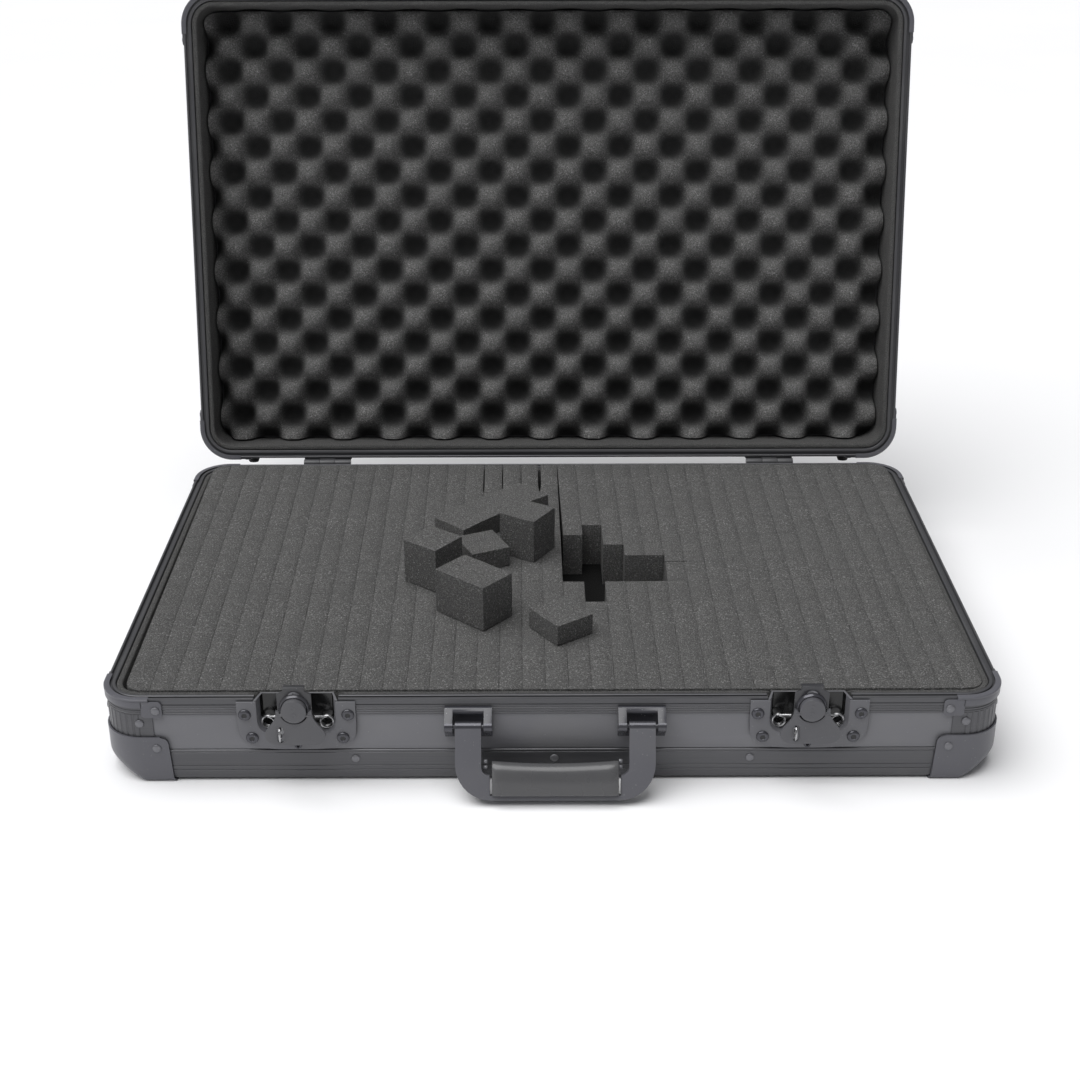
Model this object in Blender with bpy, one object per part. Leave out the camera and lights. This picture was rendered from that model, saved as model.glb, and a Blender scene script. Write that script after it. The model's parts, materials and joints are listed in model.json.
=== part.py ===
"""Foam-lined equipment case with its lid open.

A shallow case of extruded rims, flat panels and pressed ball corners, with cube-cut foam in the base,
convoluted foam in the lid, two recessed twist latches and a folding handle.
Every size below is in millimetres and turns into metres where a mesh is made.
X runs to the right, Y to the back, Z up; the origin is the centre of the underside, and the front is -Y.
"""

import math

import bmesh
import bpy
from mathutils import Matrix, Vector

MM = 0.001
GAP = 0.3             # clearance between neighbouring pieces

# Case
WIDTH = 580.0         # outside of the extrusions, along X
DEPTH = 374.0         # outside of the extrusions, along Y
CORNER_R = 25.0       # plan radius of the outside corners
BASE_H = 62.0
LID_H = 50.0
RIM_H = 11.5          # rim extrusion round each mouth
RIM_T = 6.6
EDGE_TOP = 23.6       # upper edge of the bottom extrusions
EDGE_BOTTOM = 1.5
EDGE_T = 4.0
EDGE_FLANGE = 14.0
EDGE_R = 1.5          # rounded lower edge
EDGE_START = 40.5     # each length's end, measured from the neighbouring side
PANEL_T = 6.0
PANEL_INSET = 0.6
BOARD_T = 5.0         # bottom and top boards
BOARD_EDGE = 14.3     # from the outside to the board's edge
POST_REACH = 31.9     # corner post, measured from the neighbouring side
POST_T = 3.0
BALL_H = 33.8
BALL_GAP = 0.3
BALL_T = 1.2
BALL_REACH = 45.3     # longest point of a ball corner's tab, from the neighbouring side
BALL_TAB_R = 3.2      # lower edge radius along the tabs
BALL_NOSE_R = 19.0    # lower edge radius round the corner itself
BALL_BLEND = 34.0     # from the neighbouring side to where a tab's own radius starts
BALL_SIDE = 0.2       # how far the nose's rounding runs on towards the short side
LINER_T = 4.0
LINER_TOP = 1.0       # liner's edge below the mouth

# Foam
CELL = 15.0
COLUMNS = 37
FOAM_DEPTH = 349.0
FOAM_X = 1.2          # the foam lies a little to the right
FOAM_TURN = 0.56      # and its cuts are a little askew, in degrees
FOAM_TOP = 63.6
PICK_H = 33.0         # the layer that is cut into cells
FOAM_R = 11.0
POCKET_FRONT = -29.2  # a row line: the pocket's front edge
LID_FOAM_RECESS = 22.0

# Hinge
HINGE_OUT = 4.05      # pin's centre behind the back wall
HINGE_Z = 61.0
LID_GAP = 0.5
LID_OPEN = 103.5      # degrees from closed
HINGE_X = 185.4
HINGE_W = 38.9
KNUCKLE_R = 3.2
HINGE_PIN_R = 1.3
LEAF_T = 1.5
LEAF_LOW = 36.0       # the base leaf's lower edge
LEAF_H = 21.0
WEB_T = 3.0           # what carries a knuckle on its leaf

# Latches
LATCH_X = 164.0
DISH_HALF = 38.0
DISH_TOP = 60.3
DISH_SHOULDER = 44.6
DISH_BOTTOM = 24.8
DISH_T = 1.2
MOUTH_HALF = 25.8     # the dish's opening
MOUTH_BOTTOM = 35.8
PAN_DRAFT = 3.3
PAN_DEPTH = 8.0
PAN_T = 1.0
SPINDLE_Z = 59.0
HEAD_R = 8.0
SHAFT_R = 3.5
WING_PIN_Z = 56.0
WING_PIN_OUT = 10.2   # out from the case's front face
WING_T = 1.6
SLOT_X = -9.3         # the wing's slot
SLOT_HALF = 2.1
SLOT_LOW = 38.0
SLOT_TOP = 45.5
HOOK_OUT = 4.8
HOOK_T = 1.2
HOOK_HALF = 11.0
HOOK_NECK = 7.0
HOOK_TOP = 73.6
HOOK_STROKE = 7.4     # room for the shaft in the hook's slot
CATCH_EARS = (12.5, 20.0)
CATCH_T = 1.5
CATCH_BAR_TOP = 64.7
CATCH_EAR_TOP = 80.0

# Handle
HANDLE_MID = 1.4      # the handle's centre
HANDLE_X = 55.4       # from there to an arm's centre
BRACKET_W = 30.4
BRACKET_WINDOW = 9.9  # half of the opening that an arm turns in
BRACKET_LOW = 34.2
BRACKET_TOP = 56.2
BRACKET_BAR = 3.5     # height of the bar across the top
PIVOT_Z = 46.6
PIVOT_OUT = 9.5
PIVOT_PIN_R = 1.6
HANDLE_TILT = 23.0    # degrees out from straight down
HANDLE_DROP = 46.9    # pivot to the lower edge
HANDLE_T = 6.5
ARM_HALF = 8.3
LOBE_R = 3.2
FRAME_R = 23.0        # outer radius of the loop's lower corners
GRIP_HALF = 40.3
GRIP_TOP = 22.0       # pivot to the grip's top
GRIP_T = 13.0
GRIP_R = 4.5

FRONT = -DEPTH / 2
BACK = DEPTH / 2
SIDE = WIDTH / 2
HINGE_Y = BACK + HINGE_OUT
LID_Z = BASE_H + LID_GAP          # lid's mouth when closed
LID_TOP = LID_Z + LID_H
COLOURS = {
    "rim": ((0.10, 0.10, 0.11), 0.35, 0.9),
    "panel": ((0.13, 0.13, 0.15), 0.5, 0.3),
    "corner": ((0.11, 0.11, 0.12), 0.4, 0.8),
    "board": ((0.05, 0.05, 0.05), 0.6, 0.0),
    "liner": ((0.09, 0.085, 0.08), 0.95, 0.0),
    "foam": ((0.07, 0.07, 0.068), 1.0, 0.0),
    "steel": ((0.12, 0.12, 0.13), 0.35, 0.9),
    "handle": ((0.10, 0.10, 0.11), 0.45, 0.0),
    "grip": ((0.08, 0.08, 0.09), 0.3, 0.0),
}


# ---------------------------------------------------------------- scene and mesh helpers

def clear_scene():
    for obj in list(bpy.data.objects):
        bpy.data.objects.remove(obj, do_unlink=True)


def material(key):
    found = bpy.data.materials.get(key)
    if found:
        return found
    colour, roughness, metallic = COLOURS[key]
    made = bpy.data.materials.new(key)
    made.use_nodes = True
    shader = made.node_tree.nodes["Principled BSDF"]
    shader.inputs["Base Color"].default_value = (*colour, 1.0)
    shader.inputs["Roughness"].default_value = roughness
    shader.inputs["Metallic"].default_value = metallic
    return made


def add_object(name, mesh_data, key=None, parent=None, smooth=None):
    """Turns a bmesh drawn in millimetres into an object in metres."""
    bmesh.ops.recalc_face_normals(mesh_data, faces=mesh_data.faces)
    bmesh.ops.scale(mesh_data, vec=(MM, MM, MM), verts=mesh_data.verts)
    mesh = bpy.data.meshes.new(name)
    mesh_data.to_mesh(mesh)
    mesh_data.free()
    obj = bpy.data.objects.new(name, mesh)
    bpy.context.scene.collection.objects.link(obj)
    obj.parent = parent
    if key:
        mesh.materials.append(material(key))
    if smooth:
        mesh.shade_smooth()
        mesh.set_sharp_from_angle(angle=math.radians(smooth))
    return obj


def add_empty(name, place, tilt_degrees=0.0):
    empty = bpy.data.objects.new(name, None)
    bpy.context.scene.collection.objects.link(empty)
    empty.location = Vector(place) * MM
    empty.rotation_euler.x = math.radians(tilt_degrees)
    return empty


def combine(obj, other, operation):
    """Adds or cuts with another object, which becomes a hidden helper."""
    modifier = obj.modifiers.new(operation.lower(), "BOOLEAN")
    modifier.operation = operation
    modifier.solver = "EXACT"
    modifier.object = other
    other.parent = obj.parent
    other.hide_render = True
    other.display_type = "WIRE"


def cut(obj, cutter):
    combine(obj, cutter, "DIFFERENCE")


def join(obj, addition):
    combine(obj, addition, "UNION")


def place(axis, u, v, w):
    """A point from two coordinates across an axis and one along it."""
    return {"X": (w, u, v), "Y": (u, w, v), "Z": (u, v, w)}[axis]


def prism(outline, axis, low, high):
    """A straight prism: the outline drawn across the axis, from low to high along it."""
    mesh = bmesh.new()
    ends = [[mesh.verts.new(place(axis, u, v, w)) for u, v in outline] for w in (low, high)]
    mesh.faces.new(ends[0])
    mesh.faces.new(ends[1])
    skin(mesh, ends, closed=True)
    return mesh


def skin(mesh, loops, closed):
    """Quads between each loop of vertices and the next."""
    for first, second in zip(loops, loops[1:]):
        count = len(first)
        for i in range(count if closed else count - 1):
            j = (i + 1) % count
            mesh.faces.new((first[i], first[j], second[j], second[i]))


def ring(outer, inner, low, high):
    """An upright wall that follows two outlines with the same number of points."""
    mesh = bmesh.new()
    loops = [
        [mesh.verts.new((x, y, z)) for x, y in outline]
        for outline, z in ((outer, low), (outer, high), (inner, high), (inner, low))
    ]
    skin(mesh, loops + loops[:1], closed=True)
    return mesh


def loft(outlines):
    """A solid through a list of loops of 3-D points, closed with a face at each end."""
    mesh = bmesh.new()
    loops = [[mesh.verts.new(point) for point in outline] for outline in outlines]
    skin(mesh, loops, closed=True)
    mesh.faces.new(loops[0])
    mesh.faces.new(loops[-1])
    return mesh


def box(low, high):
    corners = [(low[0], low[1]), (high[0], low[1]), (high[0], high[1]), (low[0], high[1])]
    return prism(corners, "Z", low[2], high[2])


def arc(centre, radius, start, end, steps):
    """Points along a circle, with the angles in degrees."""
    points = []
    for i in range(steps + 1):
        angle = math.radians(start + (end - start) * i / steps)
        points.append((centre[0] + radius * math.cos(angle), centre[1] + radius * math.sin(angle)))
    return points


def rounded_rectangle(half_x, half_y, radius, steps=6):
    points = []
    for k, (sx, sy) in enumerate(((1, 1), (-1, 1), (-1, -1), (1, -1))):
        centre = (sx * (half_x - radius), sy * (half_y - radius))
        points += arc(centre, radius, 90 * k, 90 * k + 90, steps)
    return points


def case_outline(inset, steps=6):
    """The case's plan outline, moved in from the outside by an inset."""
    return rounded_rectangle(SIDE - inset, BACK - inset, CORNER_R - inset, steps)


def cylinder(axis, centre, radius, low, high, sides=24):
    outline = arc(centre, radius, 0, 360 - 360 / sides, sides - 1)
    return prism(outline, axis, low, high)


def raised(mesh, flip):
    """Turns a piece drawn for the base into the lid's matching piece, when flip is set."""
    if flip:
        bmesh.ops.scale(mesh, vec=(1, 1, -1), verts=mesh.verts)
        bmesh.ops.translate(mesh, vec=(0, 0, LID_TOP), verts=mesh.verts)
    return mesh


# ---------------------------------------------------------------- shells

def edge_profile():
    """Bottom extrusion: (in from the outside, up), with its rounded lower edge."""
    low, high = EDGE_BOTTOM, EDGE_TOP
    outer = arc((EDGE_R, low + EDGE_R), EDGE_R, 180, 270, 6)
    inner = [(EDGE_FLANGE, low), (EDGE_FLANGE, low + 3), (EDGE_T + 3, low + 3), (EDGE_T, low + 6)]
    return [(0, high), *outer, *inner, (EDGE_T, high)]


def edge_extrusions(prefix, parent, flip):
    """Four straight lengths whose ends lie under the ball corners."""
    half_x, half_y = SIDE - EDGE_START, BACK - EDGE_START
    profile = edge_profile()
    lengths = {
        "front": ("X", [(FRONT + u, v) for u, v in profile], half_x),
        "back": ("X", [(BACK - u, v) for u, v in profile], half_x),
        "left": ("Y", [(-SIDE + u, v) for u, v in profile], half_y),
        "right": ("Y", [(SIDE - u, v) for u, v in profile], half_y),
    }
    for side, (axis, outline, half) in lengths.items():
        mesh = raised(prism(outline, axis, -half, half), flip)
        add_object(f"{prefix}_edge_{side}", mesh, "rim", parent, smooth=40)


def along_corner(distance_out, steps=8):
    """Stations round the +X +Y corner: (origin, outward direction, share of the turn or None)."""
    centre = Vector((SIDE - CORNER_R, BACK - CORNER_R, 0))
    reach = distance_out - CORNER_R
    stations = [(centre + Vector((0, -reach, 0)), Vector((1, 0, 0)), None)]
    for i in range(steps + 1):
        angle = math.radians(90 * i / steps)
        stations.append((centre, Vector((math.cos(angle), math.sin(angle), 0)), i / steps))
    stations.append((centre + Vector((-reach, 0, 0)), Vector((0, 1, 0)), None))
    return stations


def mirrored(mesh, sx, sy):
    bmesh.ops.scale(mesh, vec=(sx, sy, 1), verts=mesh.verts)
    return mesh


def corner_names():
    for y_name, sy in (("front", -1), ("back", 1)):
        for x_name, sx in (("left", -1), ("right", 1)):
            yield f"{y_name}_{x_name}", sx, sy


def post_mesh():
    """Quarter-round post between the rim and the bottom extrusions."""
    low, high = EDGE_TOP + GAP, BASE_H - RIM_H - GAP
    section = [(CORNER_R, low), (CORNER_R, high), (CORNER_R - POST_T, high), (CORNER_R - POST_T, low)]
    loops = []
    for origin, out, _ in along_corner(POST_REACH):
        loops.append([origin + out * r + Vector((0, 0, z)) for r, z in section])
    return loft(loops)


def ball_section(lower_radius, steps=7):
    """Pressed shell of a ball corner: (from the corner's centre outwards, up)."""
    outside = CORNER_R + BALL_GAP + BALL_T
    inside = CORNER_R + BALL_GAP
    end = CORNER_R - BOARD_EDGE + 0.8
    points = [(outside, BALL_H)]
    skins = []
    for radius, face in ((lower_radius, outside), (lower_radius - BALL_T, inside)):
        bottom = outside - face
        reach = min(face - end, radius)
        last = math.degrees(math.asin(min(1.0, (radius - reach) / radius)))
        skin_points = arc((face - radius, bottom + radius), radius, 0, -(90 - last), steps)
        skins.append([*skin_points, (end, skin_points[-1][1])])
    points += skins[0]
    points += reversed(skins[1])
    points.append((inside, BALL_H))
    return points


def ball_tab_cutter(high):
    """What lies beyond a tab's slanted edge and rounded shoulder: (in from the side, up)."""
    radius, tab, far = 5.6, BALL_REACH - 2.6, 90.0
    shoulder = arc((tab - radius - 0.3, BALL_H - radius), radius, 90, 4, 6)
    edge = [(tab, 12.0), (BALL_REACH - 1.8, 4.4), (BALL_REACH, 1.6), (BALL_REACH, -2.0)]
    return [(shoulder[0][0], high), *shoulder, *edge, (far, -2.0), (far, high)]


def ball_corner_mesh():
    """The lower radius is largest near the corner's middle and eases into the tabs' smaller one."""
    turns = along_corner(BALL_REACH + 2)
    blends = along_corner(BALL_BLEND)
    stations = [turns[0], blends[0], *turns[1:-1], blends[-1], turns[-1]]
    loops = []
    for origin, out, share in stations:
        swell = 0.0 if share is None else math.sin(math.pi * (BALL_SIDE + (1 - BALL_SIDE) * share))
        lower_radius = BALL_TAB_R + (BALL_NOSE_R - BALL_TAB_R) * swell
        loops.append([origin + out * r + Vector((0, 0, z)) for r, z in ball_section(lower_radius)])
    return loft(loops)


def ball_corner(name, sx, sy, parent, flip):
    corner = add_object(name, raised(mirrored(ball_corner_mesh(), sx, sy), flip), "corner", parent, smooth=45)
    outline = ball_tab_cutter(BALL_H + 3)
    for axis, half in (("Y", SIDE), ("X", BACK)):
        flat = [(half - u, v) for u, v in outline]
        across = BACK if axis == "Y" else SIDE
        cutter = mirrored(prism(flat, axis, across - 15, across + 5), sx, sy)
        cut(corner, add_object(f"{name}_trim_{axis}", raised(cutter, flip)))


def panel_box(side):
    """A wall panel between the posts, below the rim."""
    outer, inner = PANEL_INSET, PANEL_INSET + PANEL_T
    low, high = EDGE_TOP + GAP, BASE_H - RIM_H - GAP
    half_x, half_y = SIDE - POST_REACH - GAP, BACK - POST_REACH - GAP
    spans = {
        "front": ((-half_x, FRONT + outer), (half_x, FRONT + inner)),
        "back": ((-half_x, BACK - inner), (half_x, BACK - outer)),
        "left": ((-SIDE + outer, -half_y), (-SIDE + inner, half_y)),
        "right": ((SIDE - inner, -half_y), (SIDE - outer, half_y)),
    }
    first, second = spans[side]
    return box((*first, low), (*second, high))


def dish_room(name, sign, room, parent):
    """The cut-out that a latch dish needs in the rim, the panel and the liner."""
    half = MOUTH_HALF + PAN_T + room
    low = MOUTH_BOTTOM - PAN_T - room
    inner = FRONT + PAN_DEPTH + PAN_T + room
    centre = sign * LATCH_X
    room_box = box((centre - half, FRONT - 5, low), (centre + half, inner, BASE_H + 5))
    return add_object(name, room_box, None, parent)


def base_shell(parent):
    add_object("base_bottom_board", prism(case_outline(BOARD_EDGE), "Z", 0, BOARD_T), "board", parent, smooth=30)
    edge_extrusions("base", parent, flip=False)
    for name, sx, sy in corner_names():
        add_object(f"base_post_{name}", mirrored(post_mesh(), sx, sy), "rim", parent, smooth=30)
        ball_corner(f"base_ball_corner_{name}", sx, sy, parent, flip=False)
    for side in ("front", "back", "left", "right"):
        panel = add_object(f"base_panel_{side}", panel_box(side), "panel", parent)
        if side == "front":
            for sign in (-1, 1):
                cut(panel, dish_room(f"panel_room_{sign}", sign, GAP, parent))
    rim_low = BASE_H - RIM_H
    rim_wall = ring(case_outline(0), case_outline(RIM_T), rim_low, BASE_H)
    rim = add_object("base_rim", rim_wall, "rim", parent, smooth=30)
    reach = LATCH_X + MOUTH_HALF + PAN_T + GAP
    inner = FRONT + RIM_T
    opening = box((-reach, FRONT - 5, rim_low - 5), (reach, inner + 3, BASE_H + 5))
    cut(rim, add_object("rim_opening", opening, None, parent))
    half = LATCH_X - MOUTH_HALF - PAN_T - GAP
    add_object("base_rim_front_middle", box((-half, FRONT, rim_low), (half, inner, BASE_H)), "rim", parent)
    liner_out = RIM_T + GAP
    wall = ring(case_outline(liner_out), case_outline(liner_out + LINER_T), BOARD_T + GAP, BASE_H - LINER_TOP)
    liner = add_object("base_liner", wall, "liner", parent, smooth=30)
    for sign in (-1, 1):
        cut(liner, dish_room(f"liner_room_{sign}", sign, GAP, parent))


def lid_shell(parent):
    top = raised(prism(case_outline(BOARD_EDGE), "Z", 0, BOARD_T), True)
    add_object("lid_top_board", top, "board", parent, smooth=30)
    edge_extrusions("lid", parent, flip=True)
    for name, sx, sy in corner_names():
        ball_corner(f"lid_ball_corner_{name}", sx, sy, parent, flip=True)
    rim_high = LID_Z + RIM_H
    rim = ring(case_outline(0), case_outline(RIM_T), LID_Z, rim_high)
    add_object("lid_rim", rim, "rim", parent, smooth=30)
    outer, inner = case_outline(PANEL_INSET), case_outline(PANEL_INSET + PANEL_T)
    band = ring(outer, inner, rim_high + GAP, LID_TOP - EDGE_TOP - GAP)
    add_object("lid_wall_band", band, "panel", parent, smooth=30)
    liner_out = RIM_T + GAP
    outer, inner = case_outline(liner_out), case_outline(liner_out + LINER_T)
    liner = ring(outer, inner, LID_Z + LINER_TOP, LID_TOP - BOARD_T - GAP)
    add_object("lid_liner", liner, "liner", parent, smooth=30)
    foam = prism(foam_outline(0.0), "Z", LID_Z + LID_FOAM_RECESS, LID_TOP - BOARD_T - GAP)
    add_object("lid_egg_foam", foam, "foam", parent, smooth=30)


# ---------------------------------------------------------------- foam in the base

def foam_outline(shift):
    corners = rounded_rectangle(COLUMNS * CELL / 2, FOAM_DEPTH / 2, FOAM_R)
    return [(x + shift, y) for x, y in corners]


def column_x(column):
    return FOAM_X + (column - COLUMNS / 2) * CELL


def row_y(row):
    """Row lines counted back from the pocket's front edge."""
    return POCKET_FRONT + row * CELL


def pocket_outline():
    """The cells picked out: five columns from column 19, each with its own first and last row."""
    spans = [(19, 0, 5), (20, -2, 6), (21, 0, 4), (22, 0, 3), (23, 0, 3)]
    front, back = [], []
    for column, first, last in spans:
        front += [(column_x(column), row_y(first)), (column_x(column + 1), row_y(first))]
        back += [(column_x(column), row_y(last)), (column_x(column + 1), row_y(last))]
    points = []
    for point in front + back[::-1]:
        if not points or point != points[-1]:
            points.append(point)
    slope = math.radians(FOAM_TURN)
    return [(x - slope * y, y + slope * x) for x, y in without_straight_points(points)]


def without_straight_points(points):
    kept = []
    for i, point in enumerate(points):
        before, after = points[i - 1], points[(i + 1) % len(points)]
        turn = (point[0] - before[0]) * (after[1] - point[1]) - (point[1] - before[1]) * (after[0] - point[0])
        if abs(turn) > 1e-6:
            kept.append(point)
    return kept


def base_foam(parent):
    outline = foam_outline(FOAM_X)
    pick_low = FOAM_TOP - PICK_H
    add_object("foam_pad", prism(outline, "Z", BOARD_T + GAP, pick_low - GAP), "foam", parent, smooth=30)
    grid = add_object("foam_grid", prism(outline, "Z", pick_low, FOAM_TOP), "foam", parent, smooth=30)
    pocket = prism(pocket_outline(), "Z", pick_low - 5, FOAM_TOP + 5)
    cut(grid, add_object("pocket", pocket, None, parent))


def loose_blocks(parent):
    """Cells pulled out of the pocket and left on the foam: cells across, cells deep, upright or lying."""
    blocks = {
        "a": ((-84.2, -25.2), -37.5, (2 * CELL, 2 * CELL, PICK_H)),
        "b": ((-49.9, 4.2), 24.5, (2 * CELL, PICK_H, CELL)),
        "c": ((-53.6, -75.5), -41.0, (3 * CELL, 2 * CELL, PICK_H)),
        "d": ((6.2, -99.5), 36.0, (2 * CELL, PICK_H, CELL)),
        "e": ((-16.9, 19.8), -32.0, (2 * CELL, 2 * CELL, PICK_H)),
        "f": ((-44.2, 64.8), 44.8, (6 * CELL, PICK_H, CELL)),
    }
    for name, (centre, turn, (long, wide, high)) in blocks.items():
        low = FOAM_TOP + GAP
        mesh = box((-long / 2, -wide / 2, 0), (long / 2, wide / 2, high))
        block = add_object(f"foam_block_{name}", mesh, "foam", parent)
        block.location = Vector((*centre, low)) * MM
        block.rotation_euler.z = math.radians(turn)


# ---------------------------------------------------------------- hinges

def hinge(side, sign, base, lid):
    """Two leaves on the back wall; the base leaf holds the pin, the lid leaf turns on it."""
    centre = sign * HINGE_X
    left, right = centre - HINGE_W / 2, centre + HINGE_W / 2
    middle = HINGE_W / 6
    near = BACK + GAP
    far = near + LEAF_T
    axis = (HINGE_Y, HINGE_Z)
    name = f"hinge_{side}"
    leaf = box((left, near, LEAF_LOW), (right, far, LEAF_LOW + LEAF_H))
    base_leaf = add_object(f"{name}_base_leaf", leaf, "steel", base, 40)
    for low, high in ((left, centre - middle), (centre + middle, right)):
        web = box((low, near, HINGE_Z - WEB_T - 2), (high, HINGE_Y, HINGE_Z - 2))
        join(base_leaf, add_object(f"{name}_knuckle", cylinder("X", axis, KNUCKLE_R, low, high, 20)))
        join(base_leaf, add_object(f"{name}_web", web))
    pin = cylinder("X", axis, HINGE_PIN_R, left + 2, right - 2, 12)
    join(base_leaf, add_object(f"{name}_pin", pin))
    leaf = box((left, near, LID_Z + 2), (right, far, LID_Z + 2 + LEAF_H))
    lid_leaf = add_object(f"{name}_lid_leaf", leaf, "steel", lid, 40)
    low, high = centre - middle + GAP, centre + middle - GAP
    web = box((low, near, HINGE_Z + 2), (high, HINGE_Y, HINGE_Z + 2 + WEB_T))
    join(lid_leaf, add_object(f"{name}_lid_knuckle", cylinder("X", axis, KNUCKLE_R, low, high, 20)))
    join(lid_leaf, add_object(f"{name}_lid_web", web))
    bore = cylinder("X", axis, HINGE_PIN_R + GAP, low - 1, high + 1, 12)
    cut(lid_leaf, add_object(f"{name}_bore", bore))


# ---------------------------------------------------------------- latches

def dish_flange_outline():
    """The dish's face: straight sides and a full rounded bottom."""
    power = 3.5
    drop = DISH_SHOULDER - DISH_BOTTOM
    steps = 20
    bowl = []
    for i in range(steps + 1):
        share = -math.cos(math.pi * i / steps)
        depth = (1 - abs(share) ** power) ** (1 / power)
        bowl.append((share * DISH_HALF, DISH_SHOULDER - drop * depth))
    return [(-DISH_HALF, DISH_TOP), *bowl, (DISH_HALF, DISH_TOP)]


def mouth_outline(half, low, high, radius=9.0):
    right = arc((half - radius, low + radius), radius, 0, -90, 5)
    left = [(-u, v) for u, v in reversed(right)]
    return [(half, high), *right, *left, (-half, high)]


def pan_loft(centre, near, far, grow, high):
    """The pan's tapering hollow between two depths, grown by a wall's thickness."""
    loops = []
    for y, draft in ((near, 0.0), (far, PAN_DRAFT)):
        outline = mouth_outline(MOUTH_HALF - draft + grow, MOUTH_BOTTOM + draft - grow, high)
        loops.append([(centre + u, y, v) for u, v in outline])
    return loft(loops)


def latch_dish(name, centre, parent):
    face_in, face_out = FRONT - GAP, FRONT - GAP - DISH_T
    pan_back = FRONT + PAN_DEPTH
    outline = [(centre + u, v) for u, v in dish_flange_outline()]
    dish = add_object(name, prism(outline, "Y", face_out, face_in), "steel", parent, 35)
    outer = pan_loft(centre, face_in - DISH_T / 2, pan_back + PAN_T, PAN_T, BASE_H - 0.5)
    join(dish, add_object(f"{name}_pan", outer))
    inner = pan_loft(centre, face_out - 2, pan_back, 0.0, BASE_H + 4)
    cut(dish, add_object(f"{name}_hollow", inner))
    bush = cylinder("Y", (centre, SPINDLE_Z), SHAFT_R + 3, pan_back - 4, pan_back + PAN_T / 2)
    cut_top = box((centre - 20, pan_back - 6, BASE_H - 0.5), (centre + 20, pan_back + 6, BASE_H + 12))
    join(dish, add_object(f"{name}_bush", bush))
    cut(dish, add_object(f"{name}_bush_bore",
                         cylinder("Y", (centre, SPINDLE_Z), SHAFT_R + GAP, pan_back - 6, pan_back - 0.4)))
    cut(dish, add_object(f"{name}_bush_top", cut_top))


def latch_spindle(name, centre, parent):
    middle = (centre, SPINDLE_Z)
    head_front = FRONT - 12.0
    head_back = FRONT - HOOK_OUT - HOOK_T - 0.5
    spindle = add_object(name, cylinder("Y", middle, HEAD_R, head_front, head_back, 32), "steel", parent, 40)
    shaft = cylinder("Y", middle, SHAFT_R, head_back - 2, FRONT + PAN_DEPTH - 0.9, 20)
    join(spindle, add_object(f"{name}_shaft", shaft))
    pin_hole = cylinder("X", (FRONT - WING_PIN_OUT, WING_PIN_Z), 1.5, centre - 12, centre + 12, 12)
    cut(spindle, add_object(f"{name}_pin_hole", pin_hole))


def wing_outline():
    """Bell-shaped wing below the spindle's head: (across, up), drawn as its right half and mirrored."""
    right = [(11.3, 59.8), (11.5, 56.5), (12.1, 54.0), (13.0, 52.0), (14.3, 50.0), (16.3, 47.3), (17.6, 45.8),
             (18.5, 44.2), (19.1, 42.4), (19.2, 40.6), (18.8, 38.6), (18.0, 37.2), (16.6, 35.8), (15.0, 34.8),
             (13.2, 34.2), (11.0, 34.0)]
    left = [(-u, v) for u, v in reversed(right)]
    notch = arc((0, SPINDLE_Z), HEAD_R + 1.2, 184, 356, 16)
    return [*right, *left, *notch]


def latch_wing(name, centre, parent):
    middle = FRONT - WING_PIN_OUT
    outline = [(centre + u, v) for u, v in wing_outline()]
    wing = add_object(name, prism(outline, "Y", middle - WING_T / 2, middle + WING_T / 2), "steel", parent, 35)
    pin = cylinder("X", (middle, WING_PIN_Z), 1.2, centre - 11.2, centre + 11.2, 12)
    join(wing, add_object(f"{name}_pin", pin))
    top, low = (centre + SLOT_X, SLOT_TOP), (centre + SLOT_X, SLOT_LOW)
    slot = arc(top, SLOT_HALF, 0, 180, 8) + arc(low, SLOT_HALF, 180, 360, 8)
    cut(wing, add_object(f"{name}_slot", prism(slot, "Y", middle - 5, middle + 5)))


def latch_hook(name, centre, parent):
    back = FRONT - HOOK_OUT
    front = back - HOOK_T
    right = [(HOOK_HALF, 45), (HOOK_HALF, HOOK_TOP - 4.8), (HOOK_NECK, HOOK_TOP - 2.6), (HOOK_NECK, HOOK_TOP)]
    outline = [(centre + u, v) for u, v in right + [(-u, v) for u, v in reversed(right)]]
    hook = add_object(name, prism(outline, "Y", front, back), "steel", parent)
    lip = box((centre - HOOK_NECK, front, HOOK_TOP - HOOK_T), (centre + HOOK_NECK, FRONT - 2.1, HOOK_TOP))
    join(hook, add_object(f"{name}_lip", lip))
    reach = SHAFT_R + 0.5
    top, low = (centre, SPINDLE_Z + HOOK_STROKE), (centre, SPINDLE_Z)
    slot = arc(top, reach, 0, 180, 10) + arc(low, reach, 180, 360, 10)
    cut(hook, add_object(f"{name}_slot", prism(slot, "Y", front - 2, back + 2)))


def lid_catch(name, centre, parent):
    """A low bar that the hook's lip draws down on, with two ears riveted to the lid."""
    near, far = FRONT - GAP, FRONT - GAP - CATCH_T
    inner, outer = CATCH_EARS
    low = LID_Z + 0.4
    right = [(outer, low), (outer, CATCH_EAR_TOP), (inner, CATCH_EAR_TOP), (inner, CATCH_BAR_TOP)]
    outline = right + [(-u, v) for u, v in reversed(right)]
    add_object(name, prism([(centre + u, v) for u, v in outline], "Y", far, near), "steel", parent)


def latch(side, sign, base, lid):
    centre = sign * LATCH_X
    latch_dish(f"latch_{side}_dish", centre, base)
    latch_spindle(f"latch_{side}_spindle", centre, base)
    latch_wing(f"latch_{side}_wing", centre, base)
    latch_hook(f"latch_{side}_hook", centre, base)
    lid_catch(f"lid_catch_{side}", centre, lid)


# ---------------------------------------------------------------- handle

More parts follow.
